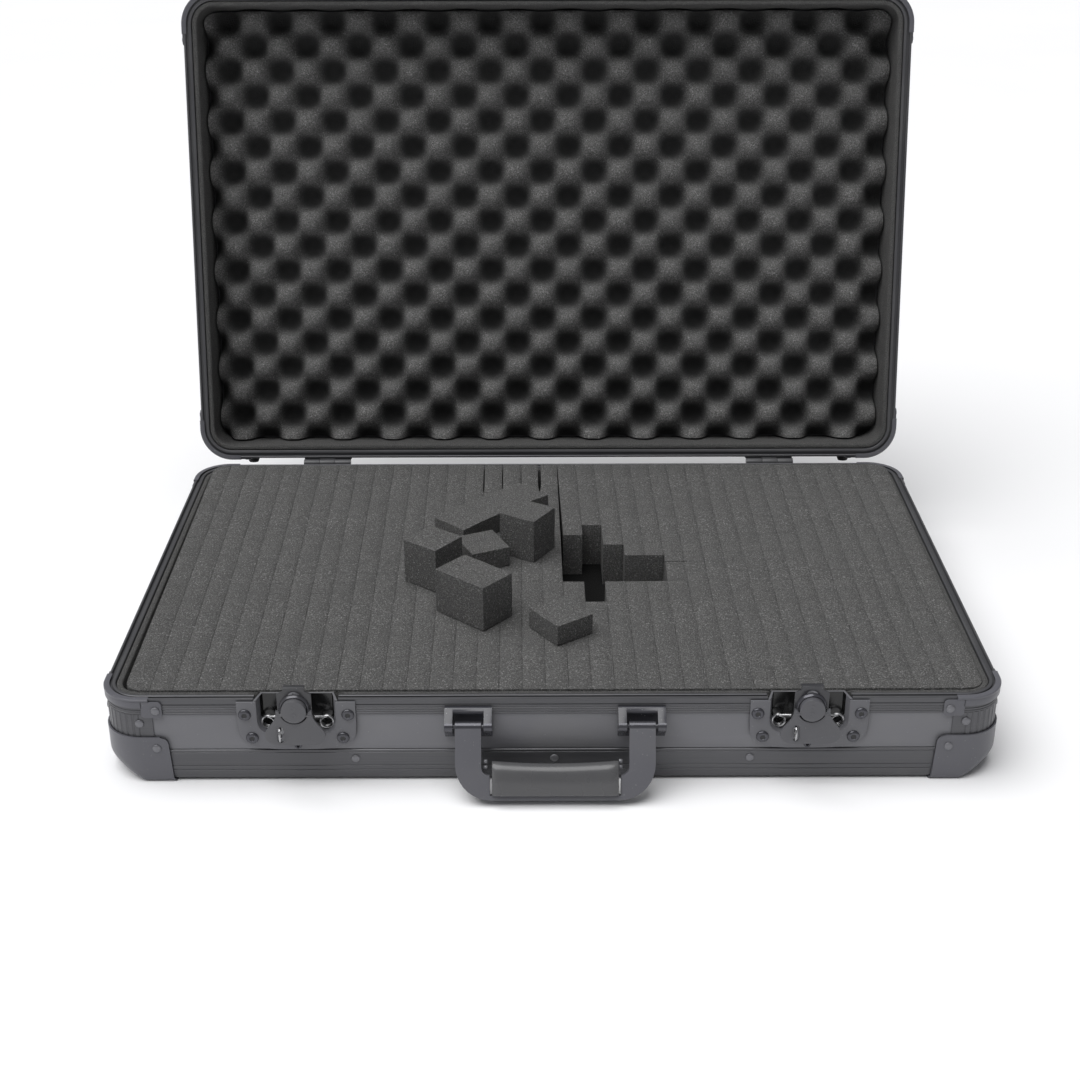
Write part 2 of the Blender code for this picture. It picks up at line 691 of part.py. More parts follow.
def bracket(side, sign, parent):
    """A saddle on the wall whose two slanting legs carry the knuckles that an arm turns between."""
    centre = HANDLE_MID + sign * HANDLE_X
    half = BRACKET_W / 2
    near = FRONT - GAP
    top, bar_low = BRACKET_TOP, BRACKET_TOP - BRACKET_BAR
    pivot = (FRONT - PIVOT_OUT, PIVOT_Z)
    saddle = [(near, BRACKET_LOW), (near, top), (near - 2.0, top), (near - 3.6, top - 1.4), (near - 3.6, bar_low),
              (near - 1.2, bar_low), (near - 1.2, BRACKET_LOW)]
    name = f"handle_bracket_{side}"
    part = add_object(name, prism(saddle, "X", centre - half, centre + half), "handle", parent, 30)
    leg = [(near - 0.5, BRACKET_LOW), (near - 0.5, top), (near - 2.0, top), *arc(pivot, LOBE_R, 125, 262, 10),
           (near - 1.2, BRACKET_LOW)]
    for low, high in ((centre - half, centre - BRACKET_WINDOW), (centre + BRACKET_WINDOW, centre + half)):
        join(part, add_object(f"{name}_leg", prism(leg, "X", low, high)))
    pin = cylinder("X", pivot, PIVOT_PIN_R, centre - half + 1, centre + half - 1, 16)
    join(part, add_object(f"{name}_pin", pin))


def frame_outline():
    """The handle's loop seen along its thickness: (across, up from the pivot)."""
    outer_half = HANDLE_X + ARM_HALF
    inner_half = HANDLE_X - ARM_HALF
    low = -HANDLE_DROP
    shelf, shoulder, inner_r = low + 3.0, -31.0, 5.4
    grip_half = inner_half - inner_r
    right = [(inner_half, LOBE_R), (outer_half, LOBE_R), (outer_half, low + FRAME_R + 1)]
    right += arc((outer_half - FRAME_R, low + FRAME_R), FRAME_R, 0, -90, 9)
    left = [(-u, v) for u, v in reversed(right)]
    inner = [(grip_half, shelf), (grip_half, shoulder)]
    inner += arc((grip_half, shoulder + inner_r), inner_r, -90, 0, 5)
    mirrored_inner = [(-u, v) for u, v in reversed(inner)]
    return [*right, *left, *mirrored_inner, *inner]


def handle(parent, pivot):
    half = HANDLE_T / 2
    frame = add_object("handle_frame", prism(frame_outline(), "Y", -half, half), "handle", pivot, 30)
    above = LOBE_R + 2
    round_top = [(-half - 1, 0), (-half - 1, above), (half + 1, above), (half + 1, 0), *arc((0, 0), LOBE_R, 0, 180, 12)]
    length = HANDLE_X + ARM_HALF + 2
    cut(frame, add_object("handle_round_top", prism(round_top, "X", -length, length)))
    bore = cylinder("X", (0, 0), PIVOT_PIN_R + GAP, -length, length, 16)
    cut(frame, add_object("handle_bore", bore))
    low, high, thick = -HANDLE_DROP + 3.0 + GAP, -GRIP_TOP, GRIP_T / 2
    section = [(-thick, low), (thick, low), *arc((thick - GRIP_R, high - GRIP_R), GRIP_R, 0, 90, 5),
               *arc((-thick + GRIP_R, high - GRIP_R), GRIP_R, 90, 180, 5)]
    add_object("handle_grip", prism(section, "X", -GRIP_HALF, GRIP_HALF), "grip", pivot, 30)
    for side, sign in (("left", -1), ("right", 1)):
        bracket(side, sign, parent)


# ---------------------------------------------------------------- the case

def build():
    clear_scene()
    base = add_empty("base", (0, 0, 0))
    lid = add_empty("lid_pivot", (0, HINGE_Y, HINGE_Z), -LID_OPEN)
    lid_frame = add_empty("lid_drawn_closed", (0, -HINGE_Y, -HINGE_Z))
    lid_frame.parent = lid
    handle_pivot = add_empty("handle_pivot", (HANDLE_MID, FRONT - PIVOT_OUT, PIVOT_Z), -HANDLE_TILT)
    base_shell(base)
    base_foam(base)
    loose_blocks(base)
    lid_shell(lid_frame)
    for side, sign in (("left", -1), ("right", 1)):
        hinge(side, sign, base, lid_frame)
        latch(side, sign, base, lid_frame)
    handle(base, handle_pivot)


build()
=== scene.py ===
"""The looks of a foam-lined equipment case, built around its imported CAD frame.

Pieces are drawn in millimetres in the frame's axes. Lid pieces are drawn with the lid shut and handle pieces
with the handle hanging straight down; each object's matrix then puts them where they rest.
"""

import itertools
import json
import math
from math import cos, radians, sin

import bmesh
import bpy
from mathutils import Matrix, Vector, noise


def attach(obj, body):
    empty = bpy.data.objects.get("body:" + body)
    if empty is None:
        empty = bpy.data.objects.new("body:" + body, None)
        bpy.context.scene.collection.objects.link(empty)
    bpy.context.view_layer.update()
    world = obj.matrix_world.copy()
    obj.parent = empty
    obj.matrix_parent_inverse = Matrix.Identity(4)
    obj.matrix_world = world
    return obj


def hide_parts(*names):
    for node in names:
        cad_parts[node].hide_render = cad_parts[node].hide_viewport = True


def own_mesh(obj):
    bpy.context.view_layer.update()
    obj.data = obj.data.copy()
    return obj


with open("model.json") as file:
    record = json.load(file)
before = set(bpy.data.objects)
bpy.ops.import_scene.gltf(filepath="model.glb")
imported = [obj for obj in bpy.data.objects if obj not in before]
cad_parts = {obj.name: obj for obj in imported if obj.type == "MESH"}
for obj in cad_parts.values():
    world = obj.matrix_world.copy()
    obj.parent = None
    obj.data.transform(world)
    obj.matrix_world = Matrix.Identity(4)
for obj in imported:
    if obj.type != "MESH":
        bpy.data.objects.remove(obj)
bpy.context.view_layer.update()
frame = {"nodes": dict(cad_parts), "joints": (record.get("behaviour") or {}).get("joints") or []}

MM = 0.001

# ---- places read from the frame

JOINTS = {joint["name"]: joint for joint in frame["joints"]}


def node_box(node, matrix=None):
    """A CAD node's corners in millimetres, seen in another frame where one is given."""
    back = matrix.inverted() if matrix else Matrix.Identity(4)
    points = [back @ vertex.co for vertex in frame["nodes"][node].data.vertices]
    low = [min(p[i] for p in points) / MM for i in range(3)]
    high = [max(p[i] for p in points) / MM for i in range(3)]
    return Vector(low), Vector(high)


def turned(joint, degrees):
    """The matrix that turns a body by an angle about one of its joints."""
    place, axis = (Vector(JOINTS[joint][key]) for key in ("pos_m", "axis"))
    turn = Matrix.Rotation(radians(degrees), 4, axis)
    return Matrix.Translation(place) @ turn @ Matrix.Translation(-place)


LID = turned("lid_hinge", -JOINTS["lid_hinge"]["range_deg"][1])
HANDLE_TILT = 23.0   # how far the resting handle stands out from hanging straight down
HANDLE = turned("handle_swing", HANDLE_TILT)
HERE = Matrix.Identity(4)
PLACES = {"base": HERE, "lid": LID}   # the case's two halves, which are also bodies
SIDES = (("left", -1), ("right", 1))

rim_low, rim_high = node_box("base_rim")
SIDE, BACK, BASE_H = rim_high
FRONT = -BACK
CORNER_R = 25.0
RIM_T = 6.6          # thickness of the rim extrusions
lid_rim_low, lid_rim_high = node_box("lid_rim", LID)
LID_Z = lid_rim_low.z
LID_TOP = node_box("lid_top_board", LID)[1].z
EDGE_BOTTOM, EDGE_TOP = (corner.z for corner in node_box("base_edge_front"))
POST_LOW, POST_HIGH = (corner.z for corner in node_box("base_post_front_left"))
BALL_H = node_box("base_ball_corner_front_left")[1].z
foam_low, foam_high = node_box("foam_grid")
FOAM_X = (foam_low.x + foam_high.x) / 2
HALF_FOAM = Vector((foam_high.x - FOAM_X, foam_high.y))
FOAM_TOP = foam_high.z
FOAM_SLOPE = 0.0146  # the foam stands higher at the back
FOAM_TURN = radians(0.56)
FOAM_R = 11.0
CELL = 15.0
POCKET_FRONT = -29.2
LATCH_X = JOINTS["right_latch_turn"]["pos_m"][0] / MM
SPINDLE_Z = JOINTS["right_latch_turn"]["pos_m"][2] / MM
DISH_FACE = node_box("latch_left_dish")[0].y
EGG_DEPTH = 20.0     # from the lid foam's peaks to the bottoms of its hollows


# ---- materials

class Paint:
    """A material's node tree, with short calls for what the surfaces here are made of."""

    def __init__(self, name, colour, roughness, metallic=0.0, specular=0.5):
        self.material = bpy.data.materials.new(name)
        self.material.use_nodes = True
        self.nodes = self.material.node_tree.nodes
        self.links = self.material.node_tree.links
        self.shader = self.nodes["Principled BSDF"]
        self.colour = (*colour, 1.0)
        for name, value in (("Base Color", self.colour), ("Roughness", roughness), ("Metallic", metallic),
                            ("Specular IOR Level", specular)):
            self.shader.inputs[name].default_value = value
        self.place = self.nodes.new("ShaderNodeTexCoord").outputs["Object"]
        self.normal = None

    def node(self, kind, **values):
        """A new node with some of its inputs set."""
        node = self.nodes.new(f"ShaderNode{kind}")
        for name, value in values.items():
            node.inputs[name.replace("_", " ")].default_value = value
        return node

    def noise(self, scale, detail=2.0, stretch=None, roughness=0.5):
        node = self.node("TexNoise", Scale=scale, Detail=detail, Roughness=roughness)
        source = self.place
        if stretch:
            mapping = self.node("Mapping", Scale=stretch)
            self.links.new(source, mapping.inputs["Vector"])
            source = mapping.outputs["Vector"]
        self.links.new(source, node.inputs["Vector"])
        return node.outputs["Fac"]

    def cells(self, scale):
        node = self.node("TexVoronoi", Scale=scale)
        self.links.new(self.place, node.inputs["Vector"])
        return node.outputs["Distance"]

    def ramp(self, source, low, high, out_low=0.0, out_high=1.0, smooth=True):
        node = self.node("MapRange", From_Min=low, From_Max=high, To_Min=out_low, To_Max=out_high)
        node.interpolation_type = "SMOOTHSTEP" if smooth else "LINEAR"
        self.links.new(source, node.inputs["Value"])
        return node.outputs["Result"]

    def depth(self, axis, near, far, smooth=True):
        """How far a place lies from near to far, in millimetres along an axis, from 0 to 1."""
        split = self.node("SeparateXYZ")
        self.links.new(self.place, split.inputs["Vector"])
        return self.ramp(split.outputs[axis], near * MM, far * MM, smooth=smooth)

    def tint(self, share, colour):
        """Lets another colour show where share is high."""
        node = self.node("Mix")
        node.data_type = "RGBA"
        socket = self.shader.inputs["Base Color"]
        if socket.is_linked:
            self.links.new(socket.links[0].from_socket, node.inputs["A"])
        else:
            node.inputs["A"].default_value = self.colour
        node.inputs["B"].default_value = (*colour, 1.0)
        self.links.new(share, node.inputs["Factor"])
        self.links.new(node.outputs["Result"], socket)

    def rough(self, share, low, high):
        self.links.new(self.ramp(share, 0.0, 1.0, low, high), self.shader.inputs["Roughness"])

    def bump(self, height, distance, strength=1.0):
        node = self.node("Bump", Distance=distance, Strength=strength)
        self.links.new(height, node.inputs["Height"])
        if self.normal:
            self.links.new(self.normal, node.inputs["Normal"])
        self.normal = node.outputs["Normal"]
        self.links.new(self.normal, self.shader.inputs["Normal"])


def grey(tone, blue=1.0):
    return tone, tone, tone * blue


def foam_paint(name, tone, pore=1250.0, specks=0.24):
    """Open-cell foam: dark pores, light struts that catch the light, and a slow unevenness."""
    paint = Paint(name, tuple(tone * c for c in (1.0, 0.985, 0.965)), 0.95, specular=0.25)
    pores = paint.cells(pore)
    grain = paint.noise(pore * 0.8, 3.0, roughness=0.7)
    paint.tint(paint.ramp(pores, 0.15, 0.75, 0.8, 0.0), grey(tone * 0.3))
    paint.tint(paint.ramp(grain, 0.52, 0.75, 0.0, 0.95), grey(min(1.0, tone * 2.6)))
    paint.tint(paint.ramp(paint.noise(55.0, 3.0), 0.35, 0.7, 0.0, 0.3), grey(tone * 0.75))
    paint.tint(paint.ramp(paint.noise(pore * 0.7, 0.0), 0.7, 0.77, 0.0, specks), (0.6, 0.6, 0.59))
    paint.bump(pores, 0.0008)
    paint.bump(grain, 0.0005, 0.8)
    return paint


def painted_shade_hollow_foam(name, tone, face, depth):
    """Convoluted foam: the same foam, with painted shade that darkens it towards the bottoms of its hollows.
    """
    paint = foam_paint(name, tone, pore=1000.0, specks=0.12)
    # painted shade: the colour turns near-black with depth into the hollows
    paint.tint(paint.depth("Z", face + depth * 0.15, face + depth * 0.95), grey(0.034))
    return paint.material


def painted_shade_pad_paint():
    """The foam below the picked-out cells, with painted shade: darker than the cube-cut foam, and near-black
    but for the pocket's front end.
    """
    # painted shade: a darker tone than the same foam in the cube-cut layer
    paint = foam_paint("pad_foam_painted_shade_paint", 0.05, specks=0.1)
    # painted shade: near-black from the pocket's front end towards its back
    paint.tint(paint.depth("Y", -52.0, -30.0, smooth=False), grey(0.003))
    return paint.material


def drawn_metal(name, tone, roughness, metallic):
    """Anodised extrusion: fine lines along its length, faint smudges and rubbed spots."""
    paint = Paint(name, tuple(tone * c for c in (0.97, 0.97, 1.05)), roughness, metallic)
    lines = paint.noise(1.0, 3.0, stretch=(14.0, 14.0, 5200.0))
    smudge = paint.noise(24.0, 4.0)
    paint.tint(paint.ramp(lines, 0.35, 0.7, 0.0, 0.30), grey(tone * 1.6))
    paint.tint(paint.ramp(smudge, 0.5, 0.75, 0.0, 0.25), grey(tone * 1.5))
    paint.rough(smudge, roughness - 0.10, roughness + 0.14)
    paint.bump(lines, 0.00008, 0.5)
    return paint.material


def coated_metal(name, tone, roughness, grain=900.0, metallic=0.0, blue=1.08):
    """Baked paint: a fine orange peel, dust specks and soft smudges."""
    paint = Paint(name, grey(tone, blue), roughness, metallic)
    peel = paint.noise(grain, 2.0)
    smudge = paint.noise(18.0, 4.0)
    dust = paint.ramp(paint.noise(1100.0, 0.0), 0.80, 0.86, 0.0, 0.35)
    paint.tint(paint.ramp(smudge, 0.45, 0.75, 0.0, 0.30), grey(tone * 1.35))
    paint.tint(dust, (0.45, 0.45, 0.44))
    paint.rough(smudge, roughness - 0.06, roughness + 0.12)
    paint.bump(peel, 0.00006, 0.5)
    return paint.material


def board_paint(name):
    """Board skin with a leather-like pressed texture."""
    paint = Paint(name, (0.022, 0.022, 0.024), 0.55)
    grain = paint.cells(520.0)
    fine = paint.noise(1600.0, 3.0)
    paint.tint(paint.ramp(grain, 0.1, 0.7, 0.0, 0.6), (0.045, 0.045, 0.047))
    paint.rough(fine, 0.45, 0.7)
    paint.bump(grain, 0.00035, 0.8)
    paint.bump(fine, 0.0001, 0.4)
    return paint.material


def soft_plastic(name, tone, roughness):
    paint = Paint(name, grey(tone, 1.04), roughness)
    smudge = paint.noise(30.0, 3.0)
    fine = paint.noise(1400.0, 2.0)
    paint.tint(paint.ramp(smudge, 0.5, 0.8, 0.0, 0.4), grey(tone * 1.5))
    paint.rough(smudge, roughness - 0.05, roughness + 0.12)
    paint.bump(fine, 0.00004, 0.5)
    return paint.material


def bright_steel(name, tone, roughness):
    paint = Paint(name, grey(tone, 1.02), roughness, 1.0)
    wear = paint.noise(420.0, 3.0)
    paint.tint(paint.ramp(wear, 0.4, 0.7, 0.0, 0.5), grey(tone * 0.6))
    paint.rough(wear, roughness - 0.05, roughness + 0.2)
    paint.bump(wear, 0.00005, 0.4)
    return paint.material


PAINTS = {
    "cube_foam": foam_paint("cube_foam_paint", 0.122).material,
    "egg_foam": painted_shade_hollow_foam("egg_foam_paint", 0.15, node_box("lid_egg_foam", LID)[0].z, EGG_DEPTH),
    "liner_foam": foam_paint("liner_foam_paint", 0.125, pore=2300.0, specks=0.1).material,
    "extrusion": drawn_metal("extrusion_paint", 0.088, 0.38, 0.45),
    "panel": coated_metal("panel_paint", 0.155, 0.42, grain=700.0),
    "corner_steel": coated_metal("corner_paint", 0.098, 0.36, grain=500.0, blue=1.14),
    "board": board_paint("board_paint"),
    "hinge_steel": coated_metal("hinge_paint", 0.06, 0.4),
    "latch_steel": coated_metal("latch_paint", 0.085, 0.3, blue=1.1),
    "handle": coated_metal("handle_paint", 0.105, 0.4, grain=1200.0, blue=1.12),
    "grip": soft_plastic("grip_paint", 0.08, 0.24),
}
RIVET = coated_metal("rivet_paint", 0.16, 0.3, metallic=0.3)
STEEL = bright_steel("spring_steel_paint", 0.42, 0.22)
# painted shade: near-black gloss standing in for the shade inside the latch dishes and their rivet holes
PAINTED_SHADE_BLACK = soft_plastic("latch_painted_shade_paint", 0.008, 0.16)
FLANGE = coated_metal("latch_flange_paint", 0.115, 0.34, blue=1.1)
DARK_STEEL = coated_metal("dark_latch_paint", 0.05, 0.22, metallic=0.2, blue=1.1)
GLOSS = coated_metal("gloss_black_paint", 0.07, 0.18, grain=300.0, metallic=0.5, blue=1.15)
BRACKET = coated_metal("bracket_paint", 0.045, 0.2, grain=300.0, blue=1.2)
RUBBER = soft_plastic("rubber_paint", 0.02, 0.7)


# ---- mesh helpers

class Shape:
    """Vertices in millimetres and the faces between them."""

    def __init__(self):
        self.verts = []
        self.faces = []

    def loop(self, points):
        start = len(self.verts)
        self.verts += [tuple(point) for point in points]
        return list(range(start, len(self.verts)))

    def bridge(self, first, second):
        for i, at in enumerate(first):
            j = (i + 1) % len(first)
            self.faces.append((at, first[j], second[j], second[i]))

    def skin(self, rows, ring=False):
        """Joins each row of points to the next; the ends get a face each, or meet in a ring."""
        loops = [self.loop(row) for row in rows]
        for first, second in zip(loops, loops[1:]):
            self.bridge(first, second)
        if ring:
            self.bridge(loops[-1], loops[0])
        else:
            self.faces.append(tuple(loops[0]))
            self.faces.append(tuple(reversed(loops[-1])))
        return self

    def add(self, other, matrix=HERE):
        """Adds another shape; the matrix's lengths are millimetres too."""
        start = len(self.verts)
        self.verts += [tuple(matrix @ Vector(point)) for point in other.verts]
        self.faces += [tuple(i + start for i in face) for face in other.faces]
        return self


def to_bmesh(shape):
    mesh = bmesh.new()
    verts = [mesh.verts.new(Vector(point) * MM) for point in shape.verts]
    for face in shape.faces:
        mesh.faces.new([verts[i] for i in face])
    bmesh.ops.recalc_face_normals(mesh, faces=mesh.faces)
    return mesh


def round_edges(mesh, width, segments=2, angle=35.0):
    """Bevels the edges that turn by more than an angle."""
    limit = radians(angle)
    edges = [edge for edge in mesh.edges if len(edge.link_faces) == 2 and edge.calc_face_angle() > limit]
    bmesh.ops.bevel(mesh, geom=edges, offset=width * MM, segments=segments, profile=0.6,
                    affect="EDGES", clamp_overlap=True)


def linked(name, data):
    obj = bpy.data.objects.new(name, data)
    bpy.context.scene.collection.objects.link(obj)
    return obj


def piece(name, mesh, paint, body, replaces=(), matrix=HERE, sharp=40.0):
    """Makes the object, puts it in place, parents it to its body's empty and hides the CAD nodes it stands
    for.
    """
    if isinstance(mesh, Shape):
        mesh = to_bmesh(mesh)
    data = bpy.data.meshes.new(name)
    mesh.to_mesh(data)
    mesh.free()
    data.materials.append(paint)
    data.shade_smooth()
    data.set_sharp_from_angle(angle=radians(sharp))
    obj = linked(name, data)
    obj.matrix_world = matrix
    bpy.context.view_layer.update()
    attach(obj, body)
    if replaces:
        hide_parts(*replaces)
    return obj


def refined(node, body, slot, width, segments=2, matrix=HERE, paint=None):
    """A CAD node's own shape with its edges rounded as the real piece's are."""
    mesh = bmesh.new()
    mesh.from_mesh(frame["nodes"][node].data)
    bmesh.ops.transform(mesh, matrix=matrix.inverted(), verts=mesh.verts)
    bmesh.ops.remove_doubles(mesh, verts=mesh.verts, dist=0.00001)
    bmesh.ops.dissolve_limit(mesh, angle_limit=radians(1.0), verts=mesh.verts, edges=mesh.edges)
    round_edges(mesh, width, segments)
    return piece(f"{node}_finished", mesh, paint or PAINTS[slot], body, (node,), matrix)


def arc(centre, radius, start, end, steps):
    points = []
    for i in range(steps + 1):
        angle = radians(start + (end - start) * i / steps)
        points.append((centre[0] + radius * cos(angle), centre[1] + radius * sin(angle)))
    return points


def outline_stations(steps=12, spacing=None):
    """Points on the case's outline with their outward directions, from the front's middle to the right."""
    across, deep = SIDE - CORNER_R, BACK - CORNER_R
    runs = [
        ((0, FRONT), (across, FRONT), (0, -1)), ((SIDE, -deep), (SIDE, deep), (1, 0)),
        ((across, BACK), (-across, BACK), (0, 1)), ((-SIDE, deep), (-SIDE, -deep), (-1, 0)),
        ((-across, FRONT), (0, FRONT), (0, -1)),
    ]
    centres = [(across, -deep), (across, deep), (-across, deep), (-across, -deep)]
    stations = []
    for k, (start, end, out) in enumerate(runs):
        length = math.dist(start, end)
        count = max(1, round(length / spacing)) if spacing else 1
        for i in range(count + 1):
            share = i / count
            point = (start[0] + (end[0] - start[0]) * share, start[1] + (end[1] - start[1]) * share)
            stations.append((Vector(point), Vector(out)))
        if k < 4:
            for i in range(1, steps):
                angle = radians(-90 + 90 * k + 90 * i / steps)
                out_here = Vector((cos(angle), sin(angle)))
                stations.append((Vector(centres[k]) + out_here * CORNER_R, out_here))
    return stations


def sweep(stations, section, closed=True):
    """Carries a section of (in from the outside, up) points, or a function giving it, along stations."""
    rows = []
    for point, out in stations:
        here = section(point) if callable(section) else section
        rows.append([(*(point - out * inset), z) for inset, z in here])
    return Shape().skin(rows[:-1] if closed else rows, ring=closed)


def turned_solid(profile, steps=24):
    """A round solid about Z from (radius, height) points, closed with a face at both ends."""
    angles = [2 * math.pi * i / steps for i in range(steps)]
    return Shape().skin([[(r * cos(a), r * sin(a), z) for a in angles] for r, z in profile])


def along(axis_out, place):
    """A matrix that stands a shape drawn about Z out of a surface at a place, both in millimetres."""
    turn = Vector((0, 0, 1)).rotation_difference(Vector(axis_out)).to_matrix().to_4x4()
    return Matrix.Translation(Vector(place)) @ turn


def tube(points, radius, sides=8, closed=False):
    """A round wire along a path of points."""
    count = len(points)
    rows = []
    side = None
    for i, point in enumerate(points):
        before = points[(i - 1) % count] if closed or i else point
        after = points[(i + 1) % count] if closed or i < count - 1 else point
        ahead = (Vector(after) - Vector(before)).normalized()
        if side is None:
            side = ahead.orthogonal().normalized()
        side = (side - ahead * side.dot(ahead)).normalized()
        up = ahead.cross(side)
        turns = [2 * math.pi * k / sides for k in range(sides)]
        rows.append([Vector(point) + radius * (side * cos(a) + up * sin(a)) for a in turns])
    return Shape().skin(rows, ring=closed)


def plate(outline, near, far, axis="Y"):
    """A flat plate from an outline of (across, up) points, between two depths along an axis."""
    order = {"X": (2, 0, 1), "Y": (0, 2, 1), "Z": (0, 1, 2)}[axis]
    return Shape().skin([[tuple((u, v, w)[i] for i in order) for u, v in outline] for w in (near, far)])


# ---- foam in the base

COLUMNS = round(2 * HALF_FOAM.x / CELL)
FIRST_ROW = math.floor((-HALF_FOAM.y - POCKET_FRONT) / CELL)
LAST_ROW = math.ceil((HALF_FOAM.y - POCKET_FRONT) / CELL)
# The rows picked out of each column: the first one, and the first one left behind it
PICKED = {19: (0, 5), 20: (-2, 6), 21: (0, 4), 22: (0, 3), 23: (0, 3)}
# How far the cells behind the pocket have bulged into it, by column and row
BULGE = {(19, 5): -0.7, (20, 6): 0.9, (21, 4): -2.2, (22, 3): -4.7, (23, 3): -5.0}
GAPING = {15: 0.45, 16: 0.35, 17: 0.2}   # cuts that stand open near the back, by column
OPEN_BACK, OPEN_FROM = 112.0, 122.0      # where those cuts, and the wide one at column 18, begin
PULL_REACH = 168.0                       # how far back the pocket pulls its columns aside


def ripple(*place):
    return noise.noise(Vector(place))


def jitter(k):
    return 0.5 + 0.5 * ripple(k * 12.9898, 78.233, 3.3)


def column_cut(k, y):
    """Middle and half-width of the knife cut on the left of column k."""
    middle = -HALF_FOAM.x + CELL * k + 0.3 * ripple(k * 3.7, y * 0.012, 1.0)
    half = 0.02 + 0.09 * max(0.0, ripple(k * 5.1, y * 0.03, 7.0)) + 0.05 * jitter(k)
    if y > OPEN_BACK + 9 * (k % 2):
        half += GAPING.get(k, 0.0)
    if k == 18 and y > OPEN_FROM:
        half += 1.2 * min(1.0, (y - OPEN_FROM) / 12)
    from_front = y + 29
    if 19 <= k <= 24 and from_front > 0:
        pulled = 1.7 * min(1.0, from_front / 20) * max(0.0, min(1.0, (PULL_REACH - y) / 110))
        if k == 19:
            half += 0.15 + pulled / 2
            middle += pulled / 2
        else:
            middle += pulled * (0.9 if k < 24 else 0.5)
    return middle, half


def row_cut(r, x):
    """Middle and half-width of the knife cut in front of row r."""
    middle = POCKET_FRONT + CELL * r + 0.25 * ripple(x * 0.012, r * 2.9, 4.0)
    half = 0.015 + 0.03 * max(0.0, ripple(x * 0.03, r * 4.3, 9.0))
    if r == 2 and 82 < x < 98:
        half += 0.5
    return middle, half


def inside_foam(x, y, inset=0.0):
    """Keeps a point within the foam's rounded corners."""
    x = max(inset - HALF_FOAM.x, min(HALF_FOAM.x - inset, x))
    y = max(inset - HALF_FOAM.y, min(HALF_FOAM.y - inset, y))
    centre = Vector((math.copysign(HALF_FOAM.x - FOAM_R, x), math.copysign(HALF_FOAM.y - FOAM_R, y)))
    away = Vector((x, y)) - centre
    if abs(x) > abs(centre.x) and abs(y) > abs(centre.y) and away.length > FOAM_R - inset:
        away *= (FOAM_R - inset) / away.length
        return centre.x + away.x, centre.y + away.y
    return x, y


def cell_ring(k, r, inset, sides=3):
    """The plan outline of one cell, between its cuts, moved in by an inset."""
    def x_at(side, y):
        if k + side in (0, COLUMNS):
            return (HALF_FOAM.x + 6) * (2 * side - 1)
        middle, half = column_cut(k + side, y)
        return middle + (half + inset) * (1 - 2 * side)

    def y_at(side, x):
        middle, half = row_cut(r + side, x)
        bulge = 0.0 if side else BULGE.get((k, r), 0.0)
        return middle + bulge + (half + inset) * (1 - 2 * side)

    x_mid, y_mid = -HALF_FOAM.x + CELL * (k + 0.5), POCKET_FRONT + CELL * (r + 0.5)
    low_y, high_y = y_at(0, x_mid), y_at(1, x_mid)
    low_x, high_x = x_at(0, y_mid), x_at(1, y_mid)

    def walk(start, end, crossing, other):
        """Places along one side, the first of them moved onto the crossing of two cuts."""
        spots = [start + (end - start) * i / sides for i in range(sides)]
        return [(spot if i else crossing, other(spot)) for i, spot in enumerate(spots)]

    front = walk(low_x, high_x, x_at(0, low_y), lambda x: y_at(0, x))
    right = walk(low_y, high_y, y_at(0, high_x), lambda y: x_at(1, y))
    rear = walk(high_x, low_x, x_at(1, high_y), lambda x: y_at(1, x))
    left = walk(high_y, low_y, y_at(1, low_x), lambda y: x_at(0, y))
    points = front + [(x, y) for y, x in right] + rear + [(x, y) for y, x in left]
    turned_points = [inside_foam(x - FOAM_TURN * y, y + FOAM_TURN * (x + FOAM_X), inset) for x, y in points]
    return [(x + FOAM_X, y) for x, y in turned_points]


def foam_cells():
    """The cube-cut layer: every cell is a post of foam between knife cuts."""
    shape = Shape()
    low = foam_low.z
    for k in range(COLUMNS):
        for r in range(FIRST_ROW, LAST_ROW):
            first, last = PICKED.get(k, (0, 0))
            if first <= r < last:
                continue
            lift = 0.03 * ripple(k * 1.7, r * 1.3, 5.0) + 0.25 * ripple(k * 0.11, r * 0.13, 2.0)
            top = FOAM_TOP + lift
            rings = [(0.0, low), (0.0, top - 0.2), (0.03, top - 0.05), (0.09, top)]
            shape.skin([[(x, y, z + (FOAM_SLOPE * y if z > low else 0.0)) for x, y in cell_ring(k, r, inset)]
                        for inset, z in rings])
    obj = piece("foam_cube_layer", shape, PAINTS["cube_foam"], "base", ("foam_grid",))


def soft_box(size, radius=0.45, step=3.0, turn=0.0):
    """A rounded foam block about the middle of its base, finely divided and a little uneven."""
    half = Vector(size) / 2
    counts = [max(3, round(length / step)) for length in size]
    shape = Shape()
    found = {}

    def corner(point):
        key = tuple(round(c, 4) for c in point)
        if key not in found:
            full = Vector([c * h for c, h in zip(point, half)])
            inner = Vector([max(-(h - radius), min(h - radius, c)) for c, h in zip(full, half)])
            out = full - inner
            soft = inner + (out.normalized() * radius if out.length > 1e-6 else out)
            uneven = 0.22 * ripple(*(soft * 0.16 + Vector((turn, size[0], size[1]))))
            soft += (soft.normalized() if soft.length else soft) * uneven
            found[key] = len(shape.verts)
            shape.verts.append((soft.x, soft.y, max(0.0, soft.z + half.z)))
        return found[key]

    for axis, sign in itertools.product(range(3), (-1, 1)):
        u, v = (axis + 1) % 3, (axis + 2) % 3
        for i, j in itertools.product(range(counts[u]), range(counts[v])):
            quad = []
            for di, dj in ((0, 0), (1, 0), (1, 1), (0, 1)):
                point = [sign, sign, sign]
                point[u] = near_edges((i + di) / counts[u], radius / half[u])
                point[v] = near_edges((j + dj) / counts[v], radius / half[v])
                quad.append(corner(point))
            shape.faces.append(tuple(quad))
    return shape


def near_edges(share, margin):
    """Spreads divisions over -1 to 1 with the first and last at a rounded edge's start."""
    value = 2 * share - 1
    if abs(value) >= 1:
        return value
    return value * (1 - margin) if abs(value) < 1 - margin else math.copysign(1 - margin, value)


